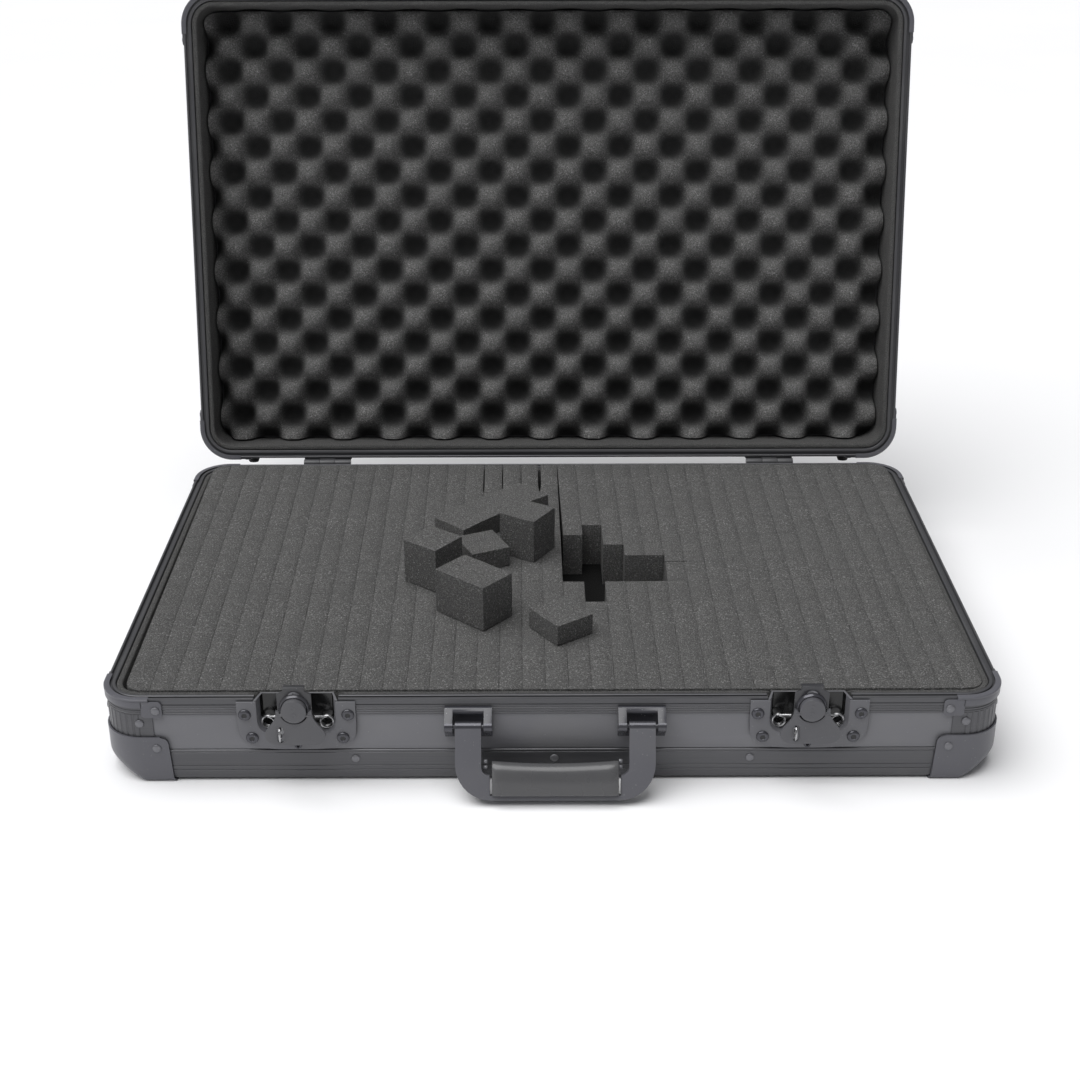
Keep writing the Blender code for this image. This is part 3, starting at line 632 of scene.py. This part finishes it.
# The turn of each loose block, the size of one strip of it and how many strips stand side by side
LOOSE_BLOCKS = {
    "a": (-37.5, (29.7, 14.9, 33.0), 2), "b": (24.5, (29.7, 32.6, 15.0), 1),
    "c": (-41.0, (44.7, 14.9, 33.0), 2), "d": (36.0, (29.8, 32.8, 15.0), 1),
    "e": (-32.0, (29.7, 29.7, 33.0), 1), "f": (44.8, (89.6, 32.6, 15.0), 1),
}
LONG_BLOCK_BEND = 2.2
STANDING = 20.0        # a block taller than this gets a mesh of its own; the closing lid would press it down


def loose_block(name):
    """A block that was pulled out of the pocket, standing where its CAD solid stands."""
    node = f"foam_block_{name}"
    low, high = node_box(node)
    turn, size, strips = LOOSE_BLOCKS[name]
    shape = Shape()
    for i in range(strips):
        block = soft_box(size, turn=turn)
        if name == "f":
            bend = LONG_BLOCK_BEND / size[0] ** 2
            block.verts = [(x, y + bend * (size[0] ** 2 - 4 * x * x), z) for x, y, z in block.verts]
        shape.add(block, Matrix.Translation((0, size[1] * (i - (strips - 1) / 2), 0)))
    middle_y = (low.y + high.y) / 2
    centre = Vector(((low.x + high.x) / 2, middle_y, low.z + FOAM_SLOPE * middle_y))
    placed = Shape().add(shape, Matrix.Translation(centre) @ Matrix.Rotation(radians(turn), 4, "Z"))
    obj = piece(f"loose_foam_{name}", placed, PAINTS["cube_foam"], "base", (node,), sharp=60)
    if size[2] > STANDING:
        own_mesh(obj)


def foam_pad():
    """The plain sheet of foam under the cube-cut layer."""
    low, high = node_box("foam_pad")
    rows = []
    for inset, z in ((0.6, low.z), (0.0, low.z + 0.8), (0.0, high.z - 0.8), (0.6, high.z)):
        row = []
        for k, (sx, sy) in enumerate(((1, 1), (-1, 1), (-1, -1), (1, -1))):
            centre = (FOAM_X + sx * (HALF_FOAM.x - FOAM_R), sy * (HALF_FOAM.y - FOAM_R))
            row += [(x, y, z) for x, y in arc(centre, FOAM_R - inset, 90 * k, 90 * k + 90, 10)]
        rows.append(row)
    obj = piece("foam_pad_sheet", Shape().skin(rows), painted_shade_pad_paint(), "base", ("foam_pad",))


# ---- foam in the lid

EGG_PITCH_X, EGG_PITCH_Y = 21.35, 20.25
EGG_HOLE = Vector((-260.4, BACK - 152.8))   # one hole's middle, with the lid shut


def egg_height(x, y):
    """How far the convoluted face lies behind its peaks."""
    wave_x = cos(math.pi * (x - EGG_HOLE.x) / EGG_PITCH_X)
    wave_y = cos(math.pi * (y - EGG_HOLE.y) / EGG_PITCH_Y)
    share = (1 + wave_x * wave_y) / 2
    share = share * share * (3 - 2 * share)
    return EGG_DEPTH * share + 0.5 * ripple(x * 0.03, y * 0.03, 6.0)


def egg_foam():
    low, high = node_box("lid_egg_foam", LID)
    step = 2.13
    count_x, count_y = round((high.x - low.x) / step), round((high.y - low.y) / step)
    shape = Shape()
    face, back = [], []
    for j in range(count_y + 1):
        row_face, row_back = [], []
        for i in range(count_x + 1):
            x = low.x + (high.x - low.x) * i / count_x
            y = low.y + (high.y - low.y) * j / count_y
            x, y = inside_foam(x, y)
            row_face.append((x, y, low.z + max(0.0, egg_height(x, y))))
            row_back.append((x, y, high.z))
        face.append(shape.loop(row_face))
        back.append(shape.loop(row_back))
    for j in range(count_y):
        for i in range(count_x):
            shape.faces.append((face[j][i], face[j][i + 1], face[j + 1][i + 1], face[j + 1][i]))
            shape.faces.append((back[j][i], back[j + 1][i], back[j + 1][i + 1], back[j][i + 1]))
    edge = [(0, i) for i in range(count_x)] + [(j, count_x) for j in range(count_y)]
    edge += [(count_y, i) for i in range(count_x, 0, -1)] + [(j, 0) for j in range(count_y, 0, -1)]
    for (j0, i0), (j1, i1) in zip(edge, edge[1:] + edge[:1]):
        shape.faces.append((face[j0][i0], back[j0][i0], back[j1][i1], face[j1][i1]))
    obj = piece("lid_convoluted_foam", shape, PAINTS["egg_foam"], "lid",
                ("lid_egg_foam",), LID, 60)


# ---- liners

def liner(half):
    """A thin foam strip round the inside, uneven along its open edge."""
    node, matrix = f"{half}_liner", PLACES[half]
    low, high = (corner.z for corner in node_box(node, matrix))
    mouth, bed, inward = (high, low, -1.0) if half == "base" else (low, high, 1.0)
    thick = 4.0

    def section(point):
        sway = 0.35 * ripple(point.x * 0.02, point.y * 0.02, 3.0)
        edge = mouth + inward * 0.175 * ripple(point.x * 0.03, point.y * 0.03, 8.0)
        near = RIM_T + 0.3
        far = near + thick + min(0.0, sway)
        if half == "base" and point.y < FRONT + 1 and abs(abs(point.x) - LATCH_X) < 28.0:
            near += 2.6
        return [(near, bed), (near, edge + inward * 0.8), (near + 0.4, edge + inward * 0.25),
                (near + 1.0, edge), (far - 1.2, edge), (far - 0.4, edge + inward * 0.3),
                (far, edge + inward * 0.9), (far, bed)]

    shape = sweep(outline_stations(14, 7.0), section)
    obj = piece(f"{node}_strip", shape, PAINTS["liner_foam"], half, (node,), matrix, 60)


# ---- extrusions

def rim_section(low, high):
    """Rim extrusion: ribs low on the outside, a plain strip above, and a grooved top edge."""
    points = [(0.0, low)]
    rib, depth = 1.75, 0.35
    for i in range(3):
        z = low + 0.9 + rib * i
        points += [(0.0, z), (depth, z + 0.25), (depth, z + 0.65), (0.0, z + 0.9)]
    step = low + 6.6
    points += [(0.0, step), (0.55, step + 0.2), (0.55, step + 0.6), (0.12, step + 0.85)]
    points += [(0.12, high - 0.6), (0.45, high - 0.1), (0.9, high), (1.5, high), (1.85, high - 0.35),
               (1.85, high - 2.0), (4.1, high - 2.0), (4.1, high - 0.5), (4.5, high - 0.15),
               (5.8, high - 0.15), (6.3, high - 0.35), (RIM_T, high - 0.8), (RIM_T, low)]
    return points


def height_on(half, z, shut=None):
    """The height on a half that answers one on the base: on the lid the two add up to shut."""
    return z if half == "base" else (shut or LID_TOP) - z


def base_rim():
    """The rim round the mouth, open at the two latches, and its middle length between them."""
    section = rim_section(rim_low.z, rim_high.z)
    reach = -node_box("base_rim_front_middle")[0].x
    opening = LATCH_X * 2 - reach
    out = Vector((0, -1))
    stations = outline_stations()
    stations[0] = (Vector((opening, FRONT)), out)
    stations[-1] = (Vector((-opening, FRONT)), out)
    middle = [(Vector((x, FRONT)), out) for x in (-reach, reach)]
    for name, node, way in (("base_rim_extrusion", "base_rim", stations),
                            ("base_rim_extrusion_middle", "base_rim_front_middle", middle)):
        shape = sweep(way, section, closed=False)
        piece(name, shape, PAINTS["extrusion"], "base", (node,), sharp=30)


def lid_rim():
    section = [(inset, lid_rim_high.z - z) for inset, z in rim_section(0.0, lid_rim_high.z - LID_Z)]
    shape = sweep(outline_stations(), section)
    piece("lid_rim_extrusion", shape, PAINTS["extrusion"], "lid", ("lid_rim",), LID, 30)


def edge_section():
    """Bottom extrusion: a fine lip at its top, two grooves low down and a rounded lower edge."""
    top, low = EDGE_TOP, EDGE_BOTTOM
    radius = 2.2
    points = [(0.5, top), (0.0, top - 0.4), (0.0, top - 1.6), (0.35, top - 1.85), (0.35, top - 2.15),
              (0.05, top - 2.4)]
    for z in (11.5, 8.3):
        points += [(0.05, z + 0.45), (0.45, z + 0.2), (0.45, z - 0.2), (0.05, z - 0.45)]
    points += arc((radius, low + radius), radius, 180, 270, 8)[1:]
    points += [(14.0, low), (14.0, low + 3), (7.0, low + 3), (4.0, low + 6), (4.0, top)]
    return points


def edge_extrusions(half):
    matrix = PLACES[half]
    section = [(inset, height_on(half, z)) for inset, z in edge_section()]
    long = node_box(f"{half}_edge_front", matrix)[1].x
    short = node_box(f"{half}_edge_left", matrix)[1].y
    for side, out, length, reach in (("front", (0, -1), long, BACK), ("back", (0, 1), long, BACK),
                                     ("left", (-1, 0), short, SIDE), ("right", (1, 0), short, SIDE)):
        out, axis = Vector(out), Vector((abs(out[1]), abs(out[0])))
        stations = [(out * reach + axis * share * length, out) for share in (-1, 1)]
        piece(f"{half}_{side}_edge_extrusion", sweep(stations, section, closed=False), PAINTS["extrusion"],
              half, (f"{half}_edge_{side}",), matrix, 30)


# ---- corners

CORNERS = {f"{y}_{x}": (sx, sy) for y, sy in (("front", -1), ("back", 1)) for x, sx in SIDES}
TAB_SHARES = (1.0, 0.82, 0.7, 0.5, 0.25)   # stations along a tab, from its end to the curve
BALL_SIDE = 0.2                            # where the ball's swell already is at the short wall
BALL_NOSE_R, BALL_TAB_R = 19.0, 3.2        # its lower radius on the diagonal and along the tabs
BALL_GAP, BALL_T, BALL_LIP = 0.3, 1.2, 11.5
SHOULDER = 5.6


def corner_shell(section, reach, steps=24):
    """A shell round the +X +Y corner whose ends lie at a reach that depends on the height.

    Its section is a function of the swell, which is 0 on the long wall and 1 near the diagonal.
    """
    centre = Vector((SIDE - CORNER_R, BACK - CORNER_R))
    x_out, y_out, none = Vector((1, 0)), Vector((0, 1)), Vector((0, 0))
    side_swell = sin(BALL_SIDE * math.pi)
    stations = [(share, x_out, -y_out, side_swell * max(0.0, 1 - share / 0.4)) for share in TAB_SHARES]
    for i in range(steps + 1):
        angle = radians(90 * i / steps)
        out = Vector((cos(angle), sin(angle)))
        share = math.atan2(out.y, out.x) / (math.pi / 2)
        swell = sin(math.pi * (BALL_SIDE + (1 - BALL_SIDE) * share))
        stations.append((0.0, out, none, max(0.0, swell)))
    stations += [(share, y_out, -x_out, 0.0) for share in reversed(TAB_SHARES)]
    rows = []
    for share, out, back, swell in stations:
        spots = [(centre + out * r + back * share * (reach(z) - CORNER_R), z) for r, z in section(swell)]
        rows.append([(spot.x, spot.y, z) for spot, z in spots])
    return Shape().skin(rows)


def ball_section(swell, steps=10):
    radius = BALL_TAB_R + (BALL_NOSE_R - BALL_TAB_R) * swell
    skins = []
    outside = CORNER_R + BALL_GAP + BALL_T
    for r, face in ((radius, outside), (radius - BALL_T, CORNER_R + BALL_GAP)):
        bottom = outside - face
        reach = min(face - BALL_LIP, r)
        last = math.degrees(math.asin(min(1.0, (r - reach) / r)))
        points = [(face, BALL_H - SHOULDER * i / 5) for i in range(6)]
        points += arc((face - r, bottom + r), r, 0, -(90 - last), steps)
        skins.append([*points, (BALL_LIP, points[-1][1])])
    return skins[0] + skins[1][::-1]


def ball_reach(z):
    """Where a ball corner's tab ends: a rounded shoulder above a slightly flared edge."""
    below = BALL_H - SHOULDER
    if z > below:
        rise = (z - below) / SHOULDER
        return 36.8 + SHOULDER * math.sqrt(max(0.0, 1 - rise * rise))
    return 42.4 + 0.3 * (1 - z / below) + 2.6 * max(0.0, 1 - z / 7.0) ** 2


def post_outline():
    """The post's plan: vertical ribs round the curve and flat wings along both walls."""
    ribs, inner_r, wing, groove = 9, CORNER_R - 3.0, 8.4, 0.42
    points = [(CORNER_R, -wing), (CORNER_R, -0.4)]
    for i in range(ribs):
        for share, dip in ((0.08, groove), (0.22, 0.0), (0.78, 0.0), (0.92, groove)):
            angle = radians(90.0 * (i + share) / ribs)
            points.append(((CORNER_R - dip) * cos(angle), (CORNER_R - dip) * sin(angle)))
    points += [(-0.4, CORNER_R), (-wing, CORNER_R), (-wing, inner_r)]
    return points + [*arc((0, 0), inner_r, 90, 0, 12), (inner_r, -wing)]


def mirror_to(half, sx, sy, shut=None):
    """From the +X +Y corner of the base to any corner of a half of the case."""
    flip = half == "lid"
    matrix = Matrix.Diagonal((sx, sy, -1 if flip else 1, 1))
    return Matrix.Translation((0, 0, shut or LID_TOP)) @ matrix if flip else matrix


def post(name, sx, sy):
    outline = [(SIDE - CORNER_R + u, BACK - CORNER_R + v) for u, v in post_outline()]
    shape = Shape().add(plate(outline, POST_LOW, POST_HIGH, "Z"), mirror_to("base", sx, sy))
    node = f"base_post_{name}"
    piece(f"{node}_ribbed", shape, PAINTS["extrusion"], "base", (node,), sharp=30)


def ball_corner(half, name, sx, sy):
    mesh = to_bmesh(Shape().add(corner_shell(ball_section, ball_reach), mirror_to(half, sx, sy)))
    round_edges(mesh, 0.4, 2, 60)
    piece(f"{half}_{name}_ball_corner", mesh, PAINTS["corner_steel"], half,
          (f"{half}_ball_corner_{name}",), PLACES[half], 35)


def rim_cap(half, name, sx, sy):
    """The folded cap over the rim at a corner, with its skirt and two riveted tabs."""
    near, far = 0.2, 1.1          # how far the sheet's two faces stand off the walls
    top_low, skirt_low, skirt_high = BASE_H - 1.7, BASE_H - 6.4, BASE_H - 1.9

    def section(points):
        return lambda swell: [(CORNER_R + out, z) for out, z in points]

    top = section([(near, top_low), (1.25, top_low), (1.25, BASE_H - 0.4), (0.8, BASE_H + 0.1),
                   (-2.4, BASE_H + 0.1), (-2.6, BASE_H + 0.03), (near, BASE_H + 0.03)])
    skirt = section([(near, skirt_low), (far, skirt_low), (far, skirt_high), (near, skirt_high)])
    shape = corner_shell(top, lambda z: 32.0)
    shape.add(corner_shell(skirt, lambda z: 27.5))
    start, stop, low, radius = 27.0, 40.3, BASE_H - 13.5, 2.6
    tab = [(start, skirt_high), (start, low + 1.4), (start + 1.4, low),
           *arc((stop - radius, low + radius), radius, -90, 0, 5),
           *arc((stop - radius, skirt_high - radius), radius, 0, 90, 5)]
    for wall, end, axis in ((BACK, SIDE, "Y"), (SIDE, BACK, "X")):
        shape.add(plate([(end - u, v) for u, v in tab], wall + near, wall + far, axis))
    mesh = to_bmesh(Shape().add(shape, mirror_to(half, sx, sy, LID_Z + BASE_H)))
    round_edges(mesh, 0.25, 2, 50)
    piece(f"{half}_{name}_rim_cap", mesh, PAINTS["corner_steel"], half, (), PLACES[half], 35)


# ---- rivets and bumpers

LATCH_RIVETS = ((-33.0, 50.9), (33.0, 50.9), (-29.2, 33.7), (29.2, 33.7))


def rivet(radius=2.8, height=1.3):
    dome = [(radius, 0.0), (radius, height * 0.35)]
    for angle in (radians(d) for d in (18, 36, 54, 72)):
        dome.append((radius * cos(angle), height * (0.35 + 0.65 * sin(angle))))
    return turned_solid([*dome, (radius * 0.12, height)], 18)


def hollow_rivet(radius):
    """A blind rivet's head with the hole its mandrel left."""
    profile = [(1.0, 0.0), (1.0, 0.5), (0.86, 1.25), (0.6, 1.6), (0.42, 1.45), (0.36, 1.1), (0.33, 0.2)]
    profile = [(radius * share, z) for share, z in profile] + [(0.1, 0.15)]
    return turned_solid(profile, 28)


def corner_rivets(half):
    """Rivets of the posts, ball corners and rim caps, on both walls of every corner."""
    shape = Shape()
    # In from the corner, height on the base, how proud it sits, and what its height and the lid's add up to
    rows = [(24.9, 43.8, 0.0, LID_TOP), (34.6, 25.9, 1.5, LID_TOP), (36.2, 53.8, 1.2, LID_Z + BASE_H)]
    for sx, sy in CORNERS.values():
        for u, base_z, proud, shut in rows:
            z = height_on(half, base_z, shut)
            shape.add(rivet(), along((0, sy, 0), (sx * (SIDE - u), sy * (BACK + proud), z)))
            shape.add(rivet(), along((sx, 0, 0), (sx * (SIDE + proud), sy * (BACK - u), z)))
    piece(f"{half}_corner_rivets", shape, RIVET, half, (), PLACES[half])


def edge_rivets(half):
    shape = Shape()
    z = height_on(half, 16.8)
    for sign in (-1, 1):
        for x in (-127.7, 1.0, 127.7):
            shape.add(rivet(2.7, 1.1), along((0, sign, 0), (x, sign * BACK, z)))
        for y in (-70, 70):
            shape.add(rivet(2.7, 1.1), along((sign, 0, 0), (sign * SIDE, y, z)))
    piece(f"{half}_edge_rivets", shape, RIVET, half, (), PLACES[half])


def bumpers(half, z):
    """Tapered rubber feet on the back wall, on which the case can stand."""
    shape = Shape()
    profile = [(6.3, 0.0), (6.2, 0.8), (4.0, 6.2), (3.4, 6.8), (1.6, 6.8), (1.4, 5.6), (0.2, 5.6)]
    for sx in (-1, 1):
        shape.add(turned_solid(profile), along((0, 1, 0), (sx * (SIDE - 39), BACK - 0.1, z)))
    piece(f"{half}_rubber_bumpers", shape, RUBBER, half, (), PLACES[half])


# ---- latches

def latch_details(side, sign):
    x = sign * LATCH_X
    spindle = f"latch_{side}_spindle"
    refined(f"latch_{side}_dish", "base", "latch_steel", 0.35, paint=FLANGE)
    refined(spindle, spindle, "latch_steel", 0.6)
    refined(f"latch_{side}_wing", f"latch_{side}_wing", "latch_steel", 0.4)
    refined(f"latch_{side}_hook", f"latch_{side}_hook", "latch_steel", 0.4, paint=DARK_STEEL)
    refined(f"lid_catch_{side}", "lid", "latch_steel", 0.3, matrix=LID)
    rivets, holes, ears, dimples = Shape(), Shape(), Shape(), Shape()
    for u, z in LATCH_RIVETS:
        spot = along((0, -1, 0), (x + u, DISH_FACE, z))
        rivets.add(hollow_rivet(4.1), spot)
        # painted shade: a near-black disc inside each rivet's mandrel hole
        holes.add(turned_solid([(1.75, 0.0), (1.75, 1.15), (0.1, 1.15)], 20), spot)
    rivets.add(hollow_rivet(2.4), along((0, -1, 0), (x, DISH_FACE, 28.2)))
    piece(f"latch_{side}_rivets", rivets, GLOSS, "base")
    piece(f"latch_{side}_rivet_hole_shade", holes, PAINTED_SHADE_BLACK, "base")
    for u in (-16.2, 16.2):
        ears.add(rivet(2.4, 1.0), along((0, -1, 0), (x + u, FRONT - 1.8, LID_Z + 11)))
    piece(f"lid_catch_{side}_rivets", ears, RIVET, "lid", (), LID)
    head_front = node_box(spindle)[0].y
    for z in (2.6, -2.6):
        dimples.add(turned_solid([(1.9, 0.0), (1.9, 0.12), (1.3, 0.22), (1.05, 0.12), (0.1, 0.08)], 16),
                    along((0, -1, 0), (x, head_front + 0.02, SPINDLE_Z + z)))
    piece(f"latch_{side}_head_marks", dimples, PAINTS["latch_steel"], spindle)
    collar = turned_solid([(9.9, 0.0), (9.9, 0.6), (9.3, 2.0), (8.7, 2.5), (8.1, 2.3), (8.05, 0.0)], 36)
    behind = node_box(f"latch_{side}_hook")[0].y - 0.05
    ring = Shape().add(collar, along((0, -1, 0), (x, behind, SPINDLE_Z)))
    piece(f"latch_{side}_collar", ring, GLOSS, spindle)
    dish_painted_shade_lining(side, x)
    springs(side, x)
    staple(side, x)


def dish_painted_shade_lining(side, x):
    """Painted shade in the dish: a near-black gloss sheet on its back, and a strip along its sides and
    bottom.
    """
    high, near, far, draft = BASE_H - 0.7, DISH_FACE + 0.25, FRONT + 7.92, 3.3

    def mouth(inset):
        half, low, radius = 25.8 - inset, 35.8 + inset, 9.0
        right = arc((half - radius, low + radius), radius, 0, -90, 7)
        points = [(half, high), *right]
        return points + [(-u, v) for u, v in reversed(points)]

    shape = Shape()
    outer_near, outer_far = mouth(0.06), mouth(draft + 0.04)
    inner_near, inner_far = mouth(0.25), mouth(draft + 0.25)
    shape.skin([[(x + a[0], near, a[1]), (x + b[0], far, b[1]), (x + c[0], far, c[1]), (x + d[0], near, d[1])]
                for a, b, c, d in zip(outer_near, outer_far, inner_far, inner_near)])
    shape.add(plate([(x + u, v) for u, v in inner_far], far - 0.2, far, "Y"))
    piece(f"latch_{side}_dish_painted_shade_lining", shape, PAINTED_SHADE_BLACK, "base")


def springs(side, x):
    """Two torsion springs in the dish, with a leg each under the hook and one against the dish."""
    shape = Shape()
    radius, wire, turns, steps = 4.1, 0.62, 2.75, 18
    for sign in (-1, 1):
        centre = Vector((x + sign * 18.9, FRONT + 3.0, 43.5))
        path = []
        for i in range(int(turns * steps) + 1):
            angle = math.pi / 2 + 2 * math.pi * i / steps
            rise = 2 * wire * (i / steps - turns / 2)
            path.append(centre + Vector((sign * radius * cos(angle), rise, radius * sin(angle))))
        leg = [path[0] + Vector((-sign * d, -0.02 * d * d, 0.9 * sin(d / 9 * math.pi / 2)))
               for d in (7.5, 5, 2.5)]
        shape.add(tube([*leg, *path, path[-1] + Vector((sign * 0.2, 0.3, -5.5))], wire))
    piece(f"latch_{side}_springs", shape, STEEL, "base")


def staple(side, x):
    """The steel padlock loop in the wing's slot."""
    pin_y = JOINTS[f"{side}_wing_fold"]["pos_m"][1] / MM
    path = []
    for i in range(20):
        angle = 2 * math.pi * i / 20
        path.append(Vector((x - 9.6, pin_y - 0.3 + 3.0 * cos(angle), 41.6 + 4.6 * sin(angle))))
    loop = tube(path, 0.75, closed=True)
    piece(f"latch_{side}_padlock_loop", loop, STEEL, f"latch_{side}_wing")


# ---- handle

def handle():
    refined("handle_frame", "handle", "handle", 1.3, 3, HANDLE)
    for side, _ in SIDES:
        refined(f"handle_bracket_{side}", "base", "handle", 0.5, 2, paint=BRACKET)
    barrels()
    grip()


def barrels():
    """Gloss barrels on the arms' pins, and the brackets' own round knuckles beside them."""
    _, pin_y, pin_z = (place / MM for place in JOINTS["handle_swing"]["pos_m"])
    arm_profile = [(2.4, -8.4), (3.4, -8.2), (3.4, 8.2), (2.4, 8.4)]
    knuckle_profile = [(2.0, -2.8), (3.35, -2.6), (3.35, 2.6), (2.0, 2.8)]
    arm, knuckles = Shape(), Shape()
    for side, _ in SIDES:
        middle = sum(corner.x for corner in node_box(f"handle_bracket_{side}")) / 2
        arm.add(turned_solid(arm_profile, 32), along((1, 0, 0), (middle, pin_y, pin_z)))
        for away in (-12.5, 12.5):
            knuckles.add(turned_solid(knuckle_profile, 32), along((1, 0, 0), (middle + away, pin_y, pin_z)))
    piece("handle_barrels", arm, GLOSS, "handle")
    piece("bracket_knuckles", knuckles, GLOSS, "base")


def grip():
    """The soft grip: round above, flat in front, with a dip in the middle of its top."""
    low, high = node_box("handle_grip", HANDLE)
    middle_y, half = (low.y + high.y) / 2, (high.y - low.y) / 2
    radius, steps = half * 0.96, 24
    rows = []
    for i in range(steps + 1):
        share = 2 * i / steps - 1
        x = low.x + (high.x - low.x) * i / steps
        end = 1 - 0.2 * max(0.0, abs(share) - 0.97) / 0.03
        top = high.z - 1.7 * (1 - share * share)
        row = [(-half, low.z + 0.8), (0.8 - half, low.z), (half - 0.8, low.z), (half, low.z + 0.8)]
        row += [(u, v) for u, v in arc((0.0, top - radius), radius, 0, 180, 12)]
        rows.append([(x, middle_y + u * end, z) for u, z in row])
    mesh = to_bmesh(Shape().skin(rows))
    round_edges(mesh, 0.5, 2, 60)
    piece("handle_soft_grip", mesh, PAINTS["grip"], "handle", ("handle_grip",), HANDLE, 50)
    screws = Shape()
    for sx in (-1, 1):
        for z in (21.1, 17.5):
            pin = turned_solid([(1.3, 0.0), (1.5, 0.3), (1.5, 1.9), (1.2, 2.3), (0.2, 2.3)], 14)
            screws.add(pin, along((sx, 0, 0), (sx * (high.x + 0.2), middle_y + 1.0, low.z + z)))
    piece("handle_grip_screws", screws, RIVET, "handle", (), HANDLE)


# ---- panels, boards, hinges

def walls():
    for wall in ("front", "back", "left", "right"):
        refined(f"base_panel_{wall}", "base", "panel", 0.35)
    refined("lid_wall_band", "lid", "panel", 0.3, matrix=LID)
    refined("base_bottom_board", "base", "board", 0.5)
    refined("lid_top_board", "lid", "board", 0.5, matrix=LID)


def hinges():
    heights = {"base": (41.5, 49.5), "lid": (LID_Z + 9.0, LID_Z + 17.5)}
    for side, _ in SIDES:
        middle = sum(corner.x for corner in node_box(f"hinge_{side}_base_leaf")) / 2
        for half, matrix in PLACES.items():
            refined(f"hinge_{side}_{half}_leaf", half, "hinge_steel", 0.3, matrix=matrix)
            shape = Shape()
            for u in (-12, 12):
                for z in heights[half]:
                    shape.add(rivet(2.5, 1.0), along((0, 1, 0), (middle + u, BACK + 1.8, z)))
            piece(f"hinge_{side}_{half}_rivets", shape, RIVET, half, (), matrix)


# ---- camera, floor and light

def camera():
    data = bpy.data.cameras.new("camera")
    data.sensor_width = 36.0
    data.lens = 55.872
    data.clip_end = 50.0
    obj = linked("camera", data)
    pitch, yaw, roll = (radians(angle) for angle in (63.87, -0.117, -0.115))
    turn = Matrix.Rotation(yaw, 4, "Z") @ Matrix.Rotation(pitch, 4, "X") @ Matrix.Rotation(roll, 4, "Z")
    obj.matrix_world = Matrix.Translation((-0.0099, -1.1008, 0.6223)) @ turn
    bpy.context.scene.camera = obj


def floor():
    mesh = bmesh.new()
    bmesh.ops.create_circle(mesh, cap_ends=True, radius=12.0, segments=96)
    data = bpy.data.meshes.new("floor")
    mesh.to_mesh(data)
    mesh.free()
    paint = Paint("floor_paint", (0.88, 0.88, 0.89), 0.6, specular=0.2)
    paint.tint(paint.ramp(paint.noise(3.0, 2.0), 0.3, 0.7, 0.0, 0.3), (0.84, 0.84, 0.85))
    data.materials.append(paint.material)
    linked("floor", data)


def soft_sun(name, toward, strength, spread):
    """A broad light that is the same everywhere."""
    data = bpy.data.lights.new(name, "SUN")
    data.energy = strength
    data.angle = radians(spread)
    obj = linked(name, data)
    obj.rotation_euler = Vector(toward).to_track_quat("Z", "Y").to_euler()


def studio():
    camera()
    floor()
    world = bpy.data.worlds.new("studio")
    bpy.context.scene.world = world
    world.use_nodes = True
    background = world.node_tree.nodes["Background"]
    background.inputs["Color"].default_value = (0.97, 0.98, 1.0, 1.0)
    background.inputs["Strength"].default_value = 0.22
    soft_sun("key", (-0.30, -0.10, 0.95), 3.3, 62.0)
    soft_sun("side", (-0.80, -0.58, 0.16), 0.14, 30.0)
    bpy.context.scene.view_settings.view_transform = "Standard"


def build():
    studio()
    foam_pad()
    foam_cells()
    for name in LOOSE_BLOCKS:
        loose_block(name)
    egg_foam()
    liner("base")
    liner("lid")
    base_rim()
    lid_rim()
    for half in PLACES:
        edge_extrusions(half)
        corner_rivets(half)
        edge_rivets(half)
        for name, (sx, sy) in CORNERS.items():
            ball_corner(half, name, sx, sy)
            rim_cap(half, name, sx, sy)
    for name, (sx, sy) in CORNERS.items():
        post(name, sx, sy)
    walls()
    hinges()
    bumpers("base", 34.0)
    bumpers("lid", LID_Z + 22.0)
    for side, sign in SIDES:
        latch_details(side, sign)
    handle()


build()
